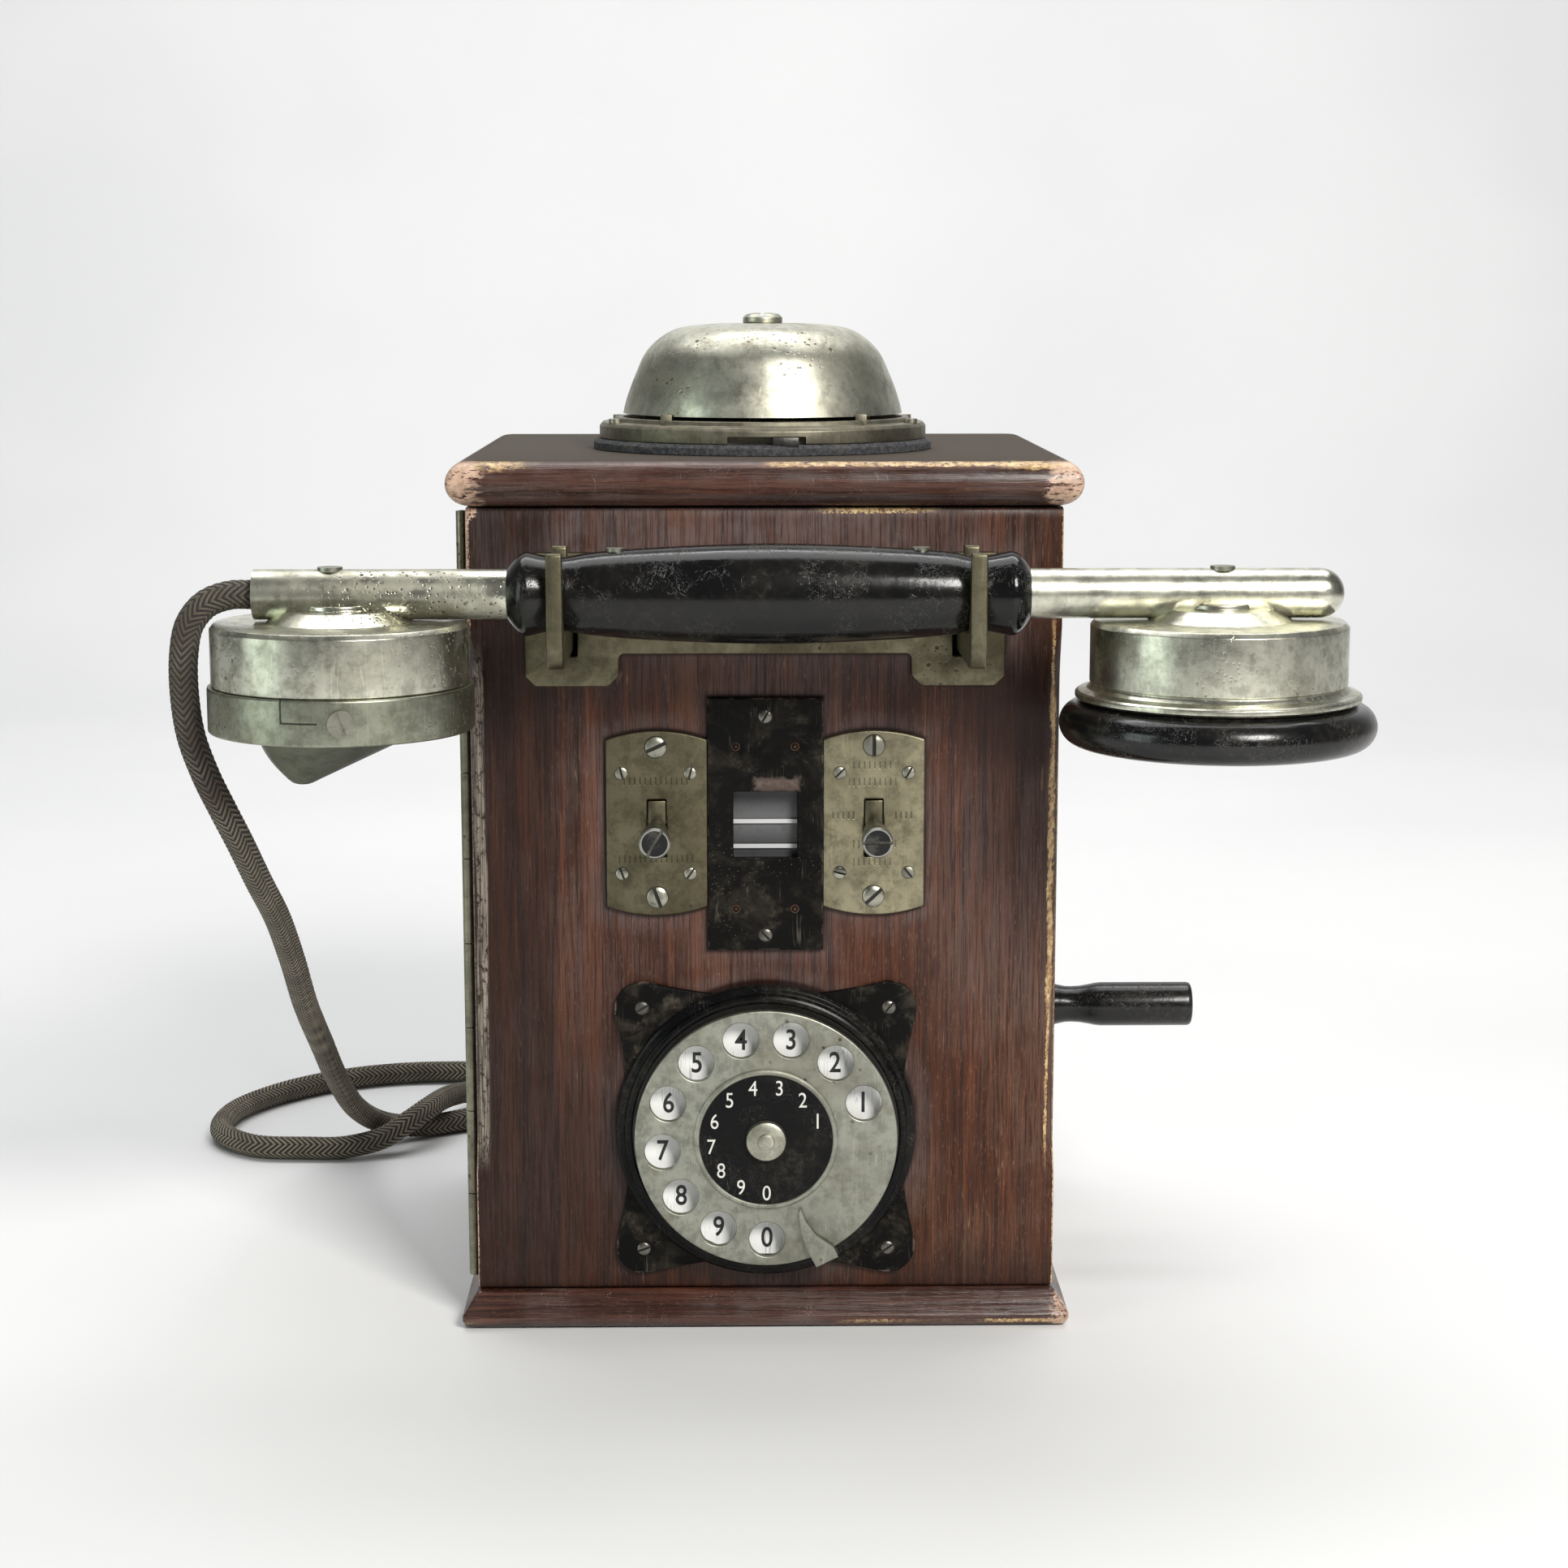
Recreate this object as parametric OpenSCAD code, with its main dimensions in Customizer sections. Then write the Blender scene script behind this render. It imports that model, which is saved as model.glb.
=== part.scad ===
// Wall telephone with a hand-cranked magneto: hinged front door with dial, line keys
// and indicator, handset resting in two lifting forks, bell on the roof, braided cord.
// Frame: origin at the centre of the cabinet's underside, +Z up, door facing -Y.

/* [Cabinet] */
// Width of the wooden case and of its door
case_w = 170; // [168:1:174]
// Depth from the door's face to the back
case_d = 156; // [154:1:160]
// Height to the top of the roof board
case_h = 255; // [254:1:258]
// Thickness of the case walls
wall_t = 9; // [8:0.5:10]
// Thickness of the door
door_t = 11.2; // [10.4:0.2:11.2]
// Thickness of the roof board
roof_t = 13; // [12:0.5:14]
// Height of the base moulding
base_h = 10.5; // [9:0.5:10.5]

/* [Bell] */
// Radius of the gong's rim
gong_r = 42.4; // [40:0.2:43]
// Height of the gong from rim to crown
gong_h = 26.8; // [24:0.2:28]

/* [Handset] */
// Radius of the handset's tube
tube_r = 6.85; // [6.4:0.05:7]
// Radius of the grip's thickest place
grip_r = 13.7; // [12.6:0.1:13.8]
// Radius of the microphone cup
mic_r = 35.1; // [34.6:0.1:35.4]
// Radius of the receiver cup
ear_r = 35.2; // [34:0.1:35.6]
// Diameter of the braided cord
cord_d = 8; // [7:0.5:8]

/* [Dial] */
// Radius of the finger wheel
wheel_r = 38.1; // [37.6:0.1:38.4]
// Radius of the circle that the finger holes stand on
hole_ring_r = 30.2; // [29.8:0.1:30.6]
// Radius of each finger hole
hole_r = 5.2; // [4.8:0.1:5.4]

/* [Crank] */
// Throw of the crank, from shaft to handle
crank_throw = 45; // [42:1:46]
// Teeth of the drive gear
gear_teeth = 48; // [48:1:48]
// Teeth of the armature's pinion
pinion_teeth = 12; // [12:1:12]

/* [Hidden] */
$fn = 64;
eps = 0.01;
run_gap = 0.05;

// Case
half_w = case_w / 2;
front_y = -case_d / 2;
back_y = case_d / 2;
door_back_y = front_y + door_t;
case_front_y = door_back_y + 1.6;
inner_w = half_w - wall_t;
back_t = 8;
roof_z = case_h - roof_t;
roof_over_side = 5.2;
roof_over_front = 6;
base_over = 4.5;
base_over_front = 6;
door_z0 = base_h + 0.5;
door_z1 = roof_z - 0.5;
door_edge_cut = 4.5;

// Hinge
hinge_r = 1.8;
hinge_x = -half_w - 1.9;
hinge_y = door_back_y + 0.8;
pin_r = 0.9;
knuckle_count = 9;
knuckle_l = 25.4;
hinge_z0 = door_z0 + 0.4;
leaf_t = 0.7;
leaf_w = 8;

// Holes for the screws that hold the case to a wall
wall_hole_x = 60;
wall_hole_z0 = 36;
wall_hole_z1 = 216;
wall_hole_r = 2.25;

// Bell
bell_y = -11;
gasket_r = 51.4;
gasket_h = 3.2;
bell_ring_r = 49.6;
bell_ring_z0 = case_h + gasket_h;
gong_z = 265.7;
gong_t = 1.6;
gong_shape = [[1, 0], [0.985, 0.1], [0.955, 0.25], [0.93, 0.36], [0.9, 0.467], [0.87, 0.58],
    [0.838, 0.67], [0.796, 0.75], [0.744, 0.825], [0.69, 0.89], [0.627, 0.933], [0.56, 0.96],
    [0.487, 0.978], [0.38, 0.994], [0.284, 1], [0, 1]];
crown_z = gong_z + gong_h;
post_r = 4;

// Handset and its forks
hs_y = -114;
hs_z = 220.7;
tube_x0 = -139.2;
tube_x1 = 151.1;
mic_x = -116.2;
ear_x = 124;
cup_z0 = 196.5;
cup_z1 = 213.3;
ring_z0 = 184;
mic_ring_r = 36.2;
ear_cap_r = 43.4;
ear_flange_r = 39.1;
bayonet_turn = 7;
grip_screw_x = [-41, 42];
grip_screw_r = 2.6;
tube_screw_x = [-118.5, 124.5];
tube_screw_r = 3.4;
screw_sink = 0.6;
fork_x = 57;
fork_t = 4.4;
fork_in = 10.8;
fork_out = 15;
fork_top_z = 232.8;
fork_low_z = 200.9;
fork_bend = 8;
hook_travel = 5;
bar_y0 = door_back_y + 1.8;
bar_y1 = bar_y0 + 6;

// Line keys, indicator and dial
plate_t = 2;
plate_y = front_y - plate_t;
key_x = 31.25;
key_w = 29.2;
key_z = 150.9;
lever_z = 149.5;
lever_y = -64;
knob_y = -104;
key_pivot_r = 1.2;
ind_w = 33.3;
ind_z0 = 113.6;
ind_z1 = 187.3;
window_w = 18.4;
window_z0 = 140.8;
window_z1 = 160.1;
dial_z = 60;
dial_plate_half = 44;
dial_ring_r = 43.6;
number_y = -85.2;
wheel_y = -91;
wheel_t = 1.8;
label_r = 20.9;
dial_shaft_r = 2.9;
hole_first = 20.5;
hole_step = 27.78;

dial_screw_x = 35.9;
dial_screw_z = 36.4;
// Slotted screws on the door: x, z, head radius, face they sit on, turn of the slot
screw_places = [
    [-31.4, 173.2, 3.1, plate_y, -15], [-31.2, 129.3, 3.1, plate_y, 80],
    [31.2, 173.6, 3.1, plate_y, 88], [31.2, 129.5, 3.1, plate_y, 40],
    [-41.3, 165.6, 1.8, plate_y, 40], [-21.6, 165.6, 1.8, plate_y, -50],
    [-41.3, 136.3, 1.8, plate_y, -35], [-21.6, 136.3, 1.8, plate_y, 50],
    [21.4, 165.6, 1.8, plate_y, -45], [41.2, 165.6, 1.8, plate_y, 30],
    [21.4, 136.4, 1.8, plate_y, 10], [41.2, 136.4, 1.8, plate_y, 65],
    [0, 182, 1.9, plate_y, -60], [0, 118, 1.9, plate_y, 35],
    [-dial_screw_x, dial_z + dial_screw_z, 1.9, plate_y, 30],
    [dial_screw_x, dial_z + dial_screw_z, 1.9, plate_y, -50],
    [-dial_screw_x, dial_z - dial_screw_z, 1.9, plate_y, 20],
    [dial_screw_x, dial_z - dial_screw_z, 1.9, plate_y, 75],
    [-30, 214, 2.4, plate_y, 25], [30, 214, 2.4, plate_y, -10]
];

// Crank and magneto
shaft_y = 2;
shaft_z = 122;
shaft_r = 4;
arm_x0 = 87;
arm_x1 = 91.6;
handle_x1 = 136.8;
handle_pin_r = 2.5;
gear_m = 1;
gear_x0 = 58;
gear_x1 = 64;
armature_y = shaft_y + gear_m * (gear_teeth + pinion_teeth) / 2 + 0.2;
armature_r = 14;
armature_shaft_r = 3;

// Route of the cord: out of the handset's left end, down behind the case's left
// side, one loop on the floor, over itself and into the gland in the back
gland_x = -40;
gland_z = 24;
cord_route = [
    [-139.2, -114, 220.7], [-146, -114, 220.5], [-152.5, -114, 218], [-157, -114, 212.5],
    [-158.8, -114, 204.5], [-159.2, -113, 193.4], [-158, -112, 181.8], [-155, -109, 170.5],
    [-151.4, -103, 159.2], [-148.6, -95, 149], [-146, -80, 134.5], [-144.2, -60, 119.6],
    [-143.8, -36, 101.2], [-144.4, -8, 80.5], [-144.8, 30, 57], [-144.8, 60, 38.2],
    [-142, 88, 19.4], [-136, 106, 9.2], [-128.5, 114.5, 5.2], [-119, 119.5, 4.05],
    [-108, 126, 4.05], [-90, 142, 4.05], [-79, 162, 4.05], [-84, 181, 4.05],
    [-101, 191, 4.05], [-121, 193, 4.05], [-142, 190, 4.05], [-163, 180, 4.05],
    [-182, 161, 4.05], [-194, 136, 4.05], [-193, 110, 4.05], [-178, 93.5, 4.05],
    [-160, 91, 4.05], [-147, 91, 4.2], [-134, 94, 6.6], [-124.5, 100.5, 11.2],
    [-119, 110.5, 13], [-115, 125, 12.4], [-111, 142, 9.5], [-106, 158, 6.5],
    [-97, 170, 8.5], [-83, 173, 13], [-66, 164, 8.5], [-53, 146, 4.4],
    [-44, 125, 6.5], [-40, 104, 15], [-40, 90, 22], [-40, 78, 24]
];
cord_cut = 9;
cord_sides = 10;

// ---------- helpers ----------
module span(x0, x1, y0, y1, z0, z1) {
    translate([x0, y0, z0]) cube([x1 - x0, y1 - y0, z1 - z0]);
}
module x_rod(r, x0, x1, y, z) {
    translate([x0, y, z]) rotate([0, 90, 0]) cylinder(r = r, h = x1 - x0);
}
module y_rod(r, x, y0, y1, z) {
    translate([x, y0, z]) rotate([-90, 0, 0]) cylinder(r = r, h = y1 - y0);
}
module z_rod(r, x, y, z0, z1) {
    translate([x, y, z0]) cylinder(r = r, h = z1 - z0);
}
// Outline in X and Z, extruded along Y from y0 to y1
module xz_slab(y0, y1) {
    translate([0, y1, 0]) rotate([90, 0, 0]) linear_extrude(height = y1 - y0) children();
}
// Outline in Y and Z, extruded along X from x0 to x1
module yz_slab(x0, x1) {
    translate([x0, 0, 0]) rotate([90, 0, 90]) linear_extrude(height = x1 - x0) children();
}
// Cheese head with a slot, facing -Y, with a shank behind it
module front_screw(x, z, head_r, face_y, slot_deg) {
    head_h = head_r * 0.45;
    difference() {
        y_rod(head_r, x, face_y - head_h, face_y, z);
        translate([x, face_y - head_h, z]) rotate([0, slot_deg, 0])
            cube([3 * head_r, 1.3 * head_h, head_r * 0.32], center = true);
    }
    y_rod(head_r * 0.5, x, face_y, face_y + 7, z);
}

// ---------- cabinet ----------
module roof_edge_profile(x0, x1) {
    r = roof_t / 2;
    translate([x0 + r, roof_z]) square([x1 - x0 - 2 * r, roof_t]);
    translate([x0 + r, roof_z + r]) circle(r);
    translate([x1 - r, roof_z + r]) circle(r);
}
module top_board() {
    color("saddlebrown") difference() {
        intersection() {
            xz_slab(front_y - roof_over_front - 1, back_y)
                roof_edge_profile(-half_w - roof_over_side, half_w + roof_over_side);
            yz_slab(-half_w - roof_over_side - 1, half_w + roof_over_side + 1)
                roof_edge_profile(front_y - roof_over_front, back_y + roof_t);
        }
        z_rod(post_r, 0, bell_y, roof_z - 1, case_h + 1);
        span(27, 39, bell_y - 4, bell_y + 4, roof_z - 1, case_h + 1);
    }
}
module base_profile(half, over) {
    polygon([
        [-half - over + 2.6, 0], [-half - over + 0.8, 0.8], [-half - over, 2.6], [-half - over, 4],
        [-half - 0.5, base_h], [half + 0.5, base_h], [half + over, 4], [half + over, 2.6],
        [half + over - 0.8, 0.8], [half + over - 2.6, 0]
    ]);
}
module base_board() {
    color("saddlebrown") intersection() {
        xz_slab(front_y - base_over_front - 1, back_y) base_profile(half_w, base_over);
        yz_slab(-half_w - base_over - 1, half_w + base_over + 1)
            translate([base_over, 0]) base_profile(-front_y + base_over, base_over_front);
    }
}
module side_board(sx) {
    x0 = sx > 0 ? inner_w : -half_w;
    span(x0, x0 + wall_t, case_front_y, back_y, base_h, roof_z);
}
module side_left() {
    color("saddlebrown") side_board(-1);
}
module side_right() {
    color("saddlebrown") difference() {
        side_board(1);
        x_rod(6, inner_w - 1, half_w + 1, shaft_y, shaft_z);
    }
}
module back_board() {
    color("saddlebrown") difference() {
        span(-inner_w, inner_w, back_y - back_t, back_y, base_h, roof_z);
        for (x = [-wall_hole_x, wall_hole_x], z = [wall_hole_z0, wall_hole_z1])
            y_rod(wall_hole_r, x, back_y - back_t - 1, back_y + 1, z);
        y_rod(8, gland_x, back_y - back_t - 1, back_y + 1, gland_z);
    }
}
module cord_gland() {
    color("dimgray") difference() {
        union() {
            y_rod(8, gland_x, back_y - back_t, back_y, gland_z);
            y_rod(10, gland_x, back_y - back_t - 3, back_y - back_t, gland_z);
        }
        y_rod(3, gland_x, back_y - back_t - 4, back_y - 2, gland_z);
    }
}
module hinge_leaf(first, y0) {
    color("darkkhaki") difference() {
        union() {
            for (k = [first : 2 : knuckle_count - 1]) {
                z0 = hinge_z0 + k * knuckle_l;
                z_rod(hinge_r, hinge_x, hinge_y, z0 + 0.15, z0 + knuckle_l - 0.15);
                span(hinge_x, -half_w + 1, y0, y0 + leaf_t, z0 + 0.15, z0 + knuckle_l - 0.15);
            }
            span(-half_w + 0.3, -half_w + leaf_w, y0, y0 + leaf_t,
                hinge_z0 + 0.15, hinge_z0 + knuckle_count * knuckle_l - 0.15);
        }
        z_rod(pin_r + run_gap, hinge_x, hinge_y, hinge_z0 - 1,
            hinge_z0 + knuckle_count * knuckle_l + 1);
    }
}
module hinge_leaf_case() {
    hinge_leaf(0, case_front_y - leaf_t);
}
module hinge_leaf_door() {
    hinge_leaf(1, door_back_y);
}
module hinge_pin() {
    color("darkkhaki")
        z_rod(pin_r, hinge_x, hinge_y, hinge_z0, hinge_z0 + knuckle_count * knuckle_l);
}
module crank_bush() {
    color("silver") difference() {
        union() {
            x_rod(6, inner_w, half_w, shaft_y, shaft_z);
            x_rod(10, half_w, half_w + 1.4, shaft_y, shaft_z);
        }
        x_rod(shaft_r + run_gap, inner_w - 1, half_w + 3, shaft_y, shaft_z);
    }
}

// ---------- bell ----------
module bell_gasket() {
    color("black") {
        translate([0, bell_y, case_h]) rotate_extrude()
            polygon([[37, 0], [gasket_r, 0], [gasket_r, 2.2], [gasket_r - 1, gasket_h],
                [37, gasket_h]]);
    }
}
module bell_base_ring() {
    color("silver") difference() {
        translate([0, bell_y, bell_ring_z0]) rotate_extrude()
            polygon([[38, 0], [bell_ring_r, 0], [bell_ring_r, 3.6], [bell_ring_r - 1, 4.8],
                [45, 5], [44.4, 6.4], [42, 6.4], [41.5, 3], [38, 3]]);
        // Slot for the tone lever at the front, and a notch at the left
        span(-12, 12, bell_y - bell_ring_r - 1, bell_y - bell_ring_r + 5,
            bell_ring_z0 - 1, bell_ring_z0 + 2.4);
        span(-bell_ring_r - 1, -bell_ring_r + 1.4, bell_y - 3, bell_y + 3,
            bell_ring_z0 - 1, bell_ring_z0 + 7);
        for (a = [20, 160, 200, 340])
            z_rod(1, 47 * cos(a), bell_y + 47 * sin(a), bell_ring_z0 - 1, bell_ring_z0 + 7);
    }
}
module bell_ring_screws() {
    color("gray") for (a = [20, 160, 200, 340])
        translate([47 * cos(a), bell_y + 47 * sin(a), bell_ring_z0 + 5]) difference() {
            union() {
                cylinder(r = 2, h = 1.2);
                translate([0, 0, -5]) cylinder(r = 1, h = 5);
            }
            translate([0, 0, 1.2]) cube([5, 0.6, 1], center = true);
        }
}
// Half outline of the gong: sides that lean in, a round shoulder and a flat crown
module gong_outline(r, h) {
    polygon(concat([[0, 0]], [for (p = gong_shape) [r * p[0], h * p[1]]]));
}
module bell_gong() {
    color("silver") translate([0, bell_y, gong_z]) difference() {
        rotate_extrude() gong_outline(gong_r, gong_h);
        translate([0, 0, -eps]) rotate_extrude() gong_outline(gong_r - gong_t, gong_h - gong_t);
        cylinder(r = 3, h = 2 * gong_h);
    }
}
module bell_screw() {
    color("silver") translate([0, bell_y, crown_z]) difference() {
        union() {
            cylinder(r = 6, h = 2);
            translate([0, 0, 2]) cylinder(r1 = 6, r2 = 4.6, h = 1.2);
            translate([0, 0, -6]) cylinder(r = 3, h = 6);
        }
        translate([0, 0, 3]) cube([1.2, 14, 2.6], center = true);
    }
}
module ringer_frame() {
    color("dimgray") {
        z_rod(post_r, 0, bell_y, roof_z - 3, crown_z - 6);
        difference() {
            z_rod(6, 0, bell_y, crown_z - 8, crown_z - gong_t);
            z_rod(3, 0, bell_y, crown_z - 6, crown_z);
        }
        span(-26, 24, bell_y - 12, bell_y + 12, roof_z - 3, roof_z);
        // Cheeks that carry the clapper's pivot
        for (y = [bell_y - 6, bell_y + 4]) difference() {
            span(18, 32, y, y + 2, roof_z - 24, roof_z);
            y_rod(1.25, 28, y - 1, y + 3, roof_z - 18);
        }
    }
}
module ringer_coils() {
    color("firebrick") for (x = [-15, 6]) {
        z_rod(9, x, bell_y, roof_z - 33, roof_z - 6);
        z_rod(3, x, bell_y, roof_z - 35, roof_z - 3);
    }
}
module bell_clapper() {
    color("goldenrod") {
        y_rod(1.2, 28, bell_y - 5.5, bell_y + 5.5, roof_z - 18);
        difference() {
            y_rod(3, 28, bell_y - 3.8, bell_y + 3.8, roof_z - 18);
            y_rod(1.2, 28, bell_y - 6, bell_y + 6, roof_z - 18);
        }
        z_rod(1.2, 31.5, bell_y, roof_z - 17, gong_z + 6);
        span(28, 32.7, bell_y - 1.2, bell_y + 1.2, roof_z - 16.4, roof_z - 14);
        translate([32, bell_y, gong_z + 6]) sphere(r = 3.6);
    }
}

// ---------- crank and magneto ----------
// Straight-sided teeth, a little thin so that the pair runs with backlash
module gear_blank(teeth, x0, x1, y, z, turn) {
    pitch_r = gear_m * teeth / 2;
    root_r = pitch_r - 1.1;
    tip_r = pitch_r + 0.75;
    translate([x0, y, z]) rotate([0, 90, 0]) rotate([0, 0, turn])
        linear_extrude(height = x1 - x0) union() {
            circle(root_r, $fn = 96);
            for (k = [0 : teeth - 1]) rotate(k * 360 / teeth)
                polygon([[root_r - 0.6, -0.85], [tip_r, -0.34], [tip_r, 0.34], [root_r - 0.6, 0.85]]);
        }
}
module drive_gear() {
    color("goldenrod") difference() {
        gear_blank(gear_teeth, gear_x0, gear_x1, shaft_y, shaft_z, 90);
        x_rod(shaft_r, gear_x0 - 1, gear_x1 + 1, shaft_y, shaft_z);
        for (a = [0 : 60 : 300])
            x_rod(4.5, gear_x0 - 1, gear_x1 + 1, shaft_y + 13 * cos(a), shaft_z + 13 * sin(a));
    }
}
module crank_shaft() {
    color("silver") x_rod(shaft_r, 46, arm_x0, shaft_y, shaft_z);
}
module magneto_armature() {
    color("peru") {
        x_rod(armature_shaft_r, -36, gear_x0, armature_y, shaft_z);
        x_rod(armature_r, -20, 42, armature_y, shaft_z);
        gear_blank(pinion_teeth, gear_x0, gear_x1, armature_y, shaft_z, 90 + 180 / pinion_teeth);
    }
}
module magneto_frame() {
    color("gray") {
        for (x = [-30, 48]) difference() {
            span(x, x + 4, shaft_y - 14, 66, 88, 158);
            x_rod(armature_shaft_r + run_gap, x - 1, x + 5, armature_y, shaft_z);
            x_rod(shaft_r + run_gap, x - 1, x + 5, shaft_y, shaft_z);
        }
        for (p = [[62, 94], [62, 152], [22, 92], [22, 152]]) {
            x_rod(2.5, -26, 48, p[0], p[1]);
            x_rod(2.5, 52, inner_w, p[0], p[1]);
        }
    }
}
module magnet_outline() {
    difference() {
        union() {
            translate([armature_y - 25, 100]) square([50, 40]);
            translate([armature_y, 140]) circle(25);
        }
        translate([armature_y - 15, 99]) square([30, 41]);
        translate([armature_y, 140]) circle(15);
        translate([22, 92]) circle(2.5);
        translate([22, 152]) circle(2.5);
        translate([62, 152]) circle(2.5);
    }
}
module magneto_magnets() {
    color("firebrick") for (x = [-18, 3, 24]) yz_slab(x, x + 18) magnet_outline();
}
module crank_arm() {
    color("black") {
        difference() {
            yz_slab(arm_x0, arm_x1) union() {
                translate([shaft_y, shaft_z]) circle(9);
                translate([shaft_y - 5.5, shaft_z - crank_throw]) square([11, crank_throw]);
                translate([shaft_y, shaft_z - crank_throw]) circle(6.6);
            }
            x_rod(handle_pin_r, arm_x0 - 1, arm_x1 + 1, shaft_y, shaft_z - crank_throw);
        }
        x_rod(handle_pin_r, arm_x0, handle_x1 - 1.6, shaft_y, shaft_z - crank_throw);
        x_rod(3.6, handle_x1 - 1.5, handle_x1 - 0.2, shaft_y, shaft_z - crank_throw);
    }
}
module crank_handle() {
    color("black") translate([arm_x1 + 0.3, shaft_y, shaft_z - crank_throw]) rotate([0, 90, 0])
        difference() {
            rotate_extrude() polygon([[0, 0], [6.6, 0], [6.3, 2.4], [5.7, 6.5], [5.9, 9.5],
                [6.8, 14], [6.95, 15.5], [6.95, 44], [6.3, 44.9], [0, 44.9]]);
            translate([0, 0, -1]) cylinder(r = handle_pin_r + run_gap, h = 50);
            translate([0, 0, 43.1]) cylinder(r = 4.2, h = 3);
        }
}

// ---------- inside fittings ----------
module induction_coil() {
    color("darkgreen") {
        x_rod(13, -60, -10, 30, 26);
        for (x = [-63, -10]) span(x, x + 3, 16, 44, base_h, 42);
    }
}
module terminal_strip() {
    color("sienna") difference() {
        span(-50, 50, back_y - back_t - 9, back_y - back_t, 180, 198);
        for (x = [-40 : 16 : 40]) y_rod(2, x, back_y - back_t - 10, back_y - back_t - 5, 189);
    }
}
module contact_springs() {
    color("goldenrod") {
        span(-11, 11, door_back_y, door_back_y + 18, fork_low_z + 16.5, fork_low_z + 30);
        for (x = [-key_x, key_x]) span(x - 8.5, x + 8.5, -59, -44, 134, 165);
    }
}

// ---------- door ----------
module door_panel() {
    color("sienna") difference() {
        span(-half_w, half_w, front_y, door_back_y, door_z0, door_z1);
        // Stopped bevels on both long edges
        for (s = [-1, 1]) translate([s * half_w, front_y, 50]) rotate([0, 0, 45])
            translate([-door_edge_cut / sqrt(2), -door_edge_cut / sqrt(2), 0])
                cube([door_edge_cut * sqrt(2), door_edge_cut * sqrt(2), 150]);
        y_rod(33, 0, front_y - 1, door_back_y + 1, dial_z);
        for (x = [-key_x, key_x])
            span(x - 10, x + 10, front_y - 1, door_back_y + 1, key_z - 22, key_z + 18);
        span(-13, 13, front_y - 1, door_back_y + 1, 126, 177);
        for (s = [-1, 1]) span(s * fork_x - 3.4, s * fork_x + 3.4, front_y - 1, door_back_y + 1,
            fork_low_z - 1.5, fork_low_z + 16);
        for (p = screw_places) y_rod(p[2] * 0.5, p[0], front_y - 1, p[3] + 7, p[1]);
    }
}
module hook_backplate() {
    foot_z = 190.7;
    bar_z = 200;
    top_z = 229;
    color("darkkhaki") difference() {
        xz_slab(plate_y, front_y) polygon([
            [-68.6, foot_z + 3], [-65.6, foot_z], [-44.8, foot_z], [-41.8, foot_z + 3],
            [-41.8, bar_z - 1], [-40.8, bar_z], [40.8, bar_z], [41.8, bar_z - 1],
            [41.8, foot_z + 3], [44.8, foot_z], [65.6, foot_z], [68.6, foot_z + 3],
            [68.6, top_z - 3], [65.6, top_z], [-65.6, top_z], [-68.6, top_z - 3]
        ]);
        for (s = [-1, 1]) span(s * fork_x - 3.4, s * fork_x + 3.4, plate_y - 1, front_y + 1,
            fork_low_z - 1.5, fork_low_z + 16);
        for (x = [-30, 30]) y_rod(1.2, x, plate_y - 1, front_y + 1, 214);
    }
}
module plate_screws() {
    color("gray") for (p = screw_places) front_screw(p[0], p[1], p[2], p[3], p[4]);
}
module plate_screw_holes() {
    for (p = screw_places) y_rod(p[2] * 0.5, p[0], plate_y - 1, front_y + 1, p[1]);
}
module key_plate(sx) {
    x = sx * key_x;
    half = 24.4;
    bow = 2.6;
    bow_r = (key_w * key_w / 4 + bow * bow) / (2 * bow);
    color("darkkhaki") difference() {
        union() {
            xz_slab(plate_y, front_y) intersection() {
                translate([x - key_w / 2, key_z - half - bow]) square([key_w, 2 * (half + bow)]);
                translate([x, key_z + half + bow - bow_r]) circle(bow_r, $fn = 128);
                translate([x, key_z - half - bow + bow_r]) circle(bow_r, $fn = 128);
            }
            for (s = [-1, 1]) span(x + s * 7.75 - 0.75, x + s * 7.75 + 0.75,
                front_y, -59, key_z - 16, key_z + 14);
        }
        span(x - 2.8, x + 2.8, plate_y - 1, front_y + 1, lever_z - 8.4, lever_z + 8.4);
        x_rod(key_pivot_r + run_gap, x - 9, x + 9, lever_y, lever_z);
        plate_screw_holes();
    }
}
module key_plate_left() {
    key_plate(-1);
}
module key_plate_right() {
    key_plate(1);
}
module key_lever(sx, slot_deg) {
    x = sx * key_x;
    color("dimgray") {
        x_rod(key_pivot_r, x - 8.4, x + 8.4, lever_y, lever_z);
        difference() {
            x_rod(3, x - 5, x + 5, lever_y, lever_z);
            x_rod(key_pivot_r, x - 6, x + 6, lever_y, lever_z);
        }
        y_rod(2.3, x, plate_y - 4, lever_y - 2.6, lever_z);
        difference() {
            translate([x, knob_y, lever_z]) rotate([-90, 0, 0]) rotate_extrude()
                polygon([[0, 0], [4, 0], [4.4, 0.5], [4.4, 4], [2.9, 21.5], [0, 21.5]]);
            translate([x, knob_y, lever_z]) rotate([0, slot_deg, 0])
                cube([12, 1.6, 0.9], center = true);
        }
    }
}
module key_lever_left() {
    key_lever(-1, -60);
}
module key_lever_right() {
    key_lever(1, 0);
}
module indicator_plate() {
    color("black") difference() {
        span(-ind_w / 2, ind_w / 2, plate_y, front_y, ind_z0, ind_z1);
        span(-window_w / 2, window_w / 2, plate_y - 1, front_y + 1, window_z0, window_z1);
        for (x = [-8.5, 8.5], z = [125.8, 173.3]) y_rod(0.8, x, plate_y - 1, front_y + 1, z);
        plate_screw_holes();
    }
}
module indicator_housing() {
    color("dimgray") difference() {
        span(-12, 12, front_y, -60, 128, 175);
        span(-10.4, 10.4, front_y - 1, -62, 130, 173.4);
    }
}
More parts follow.
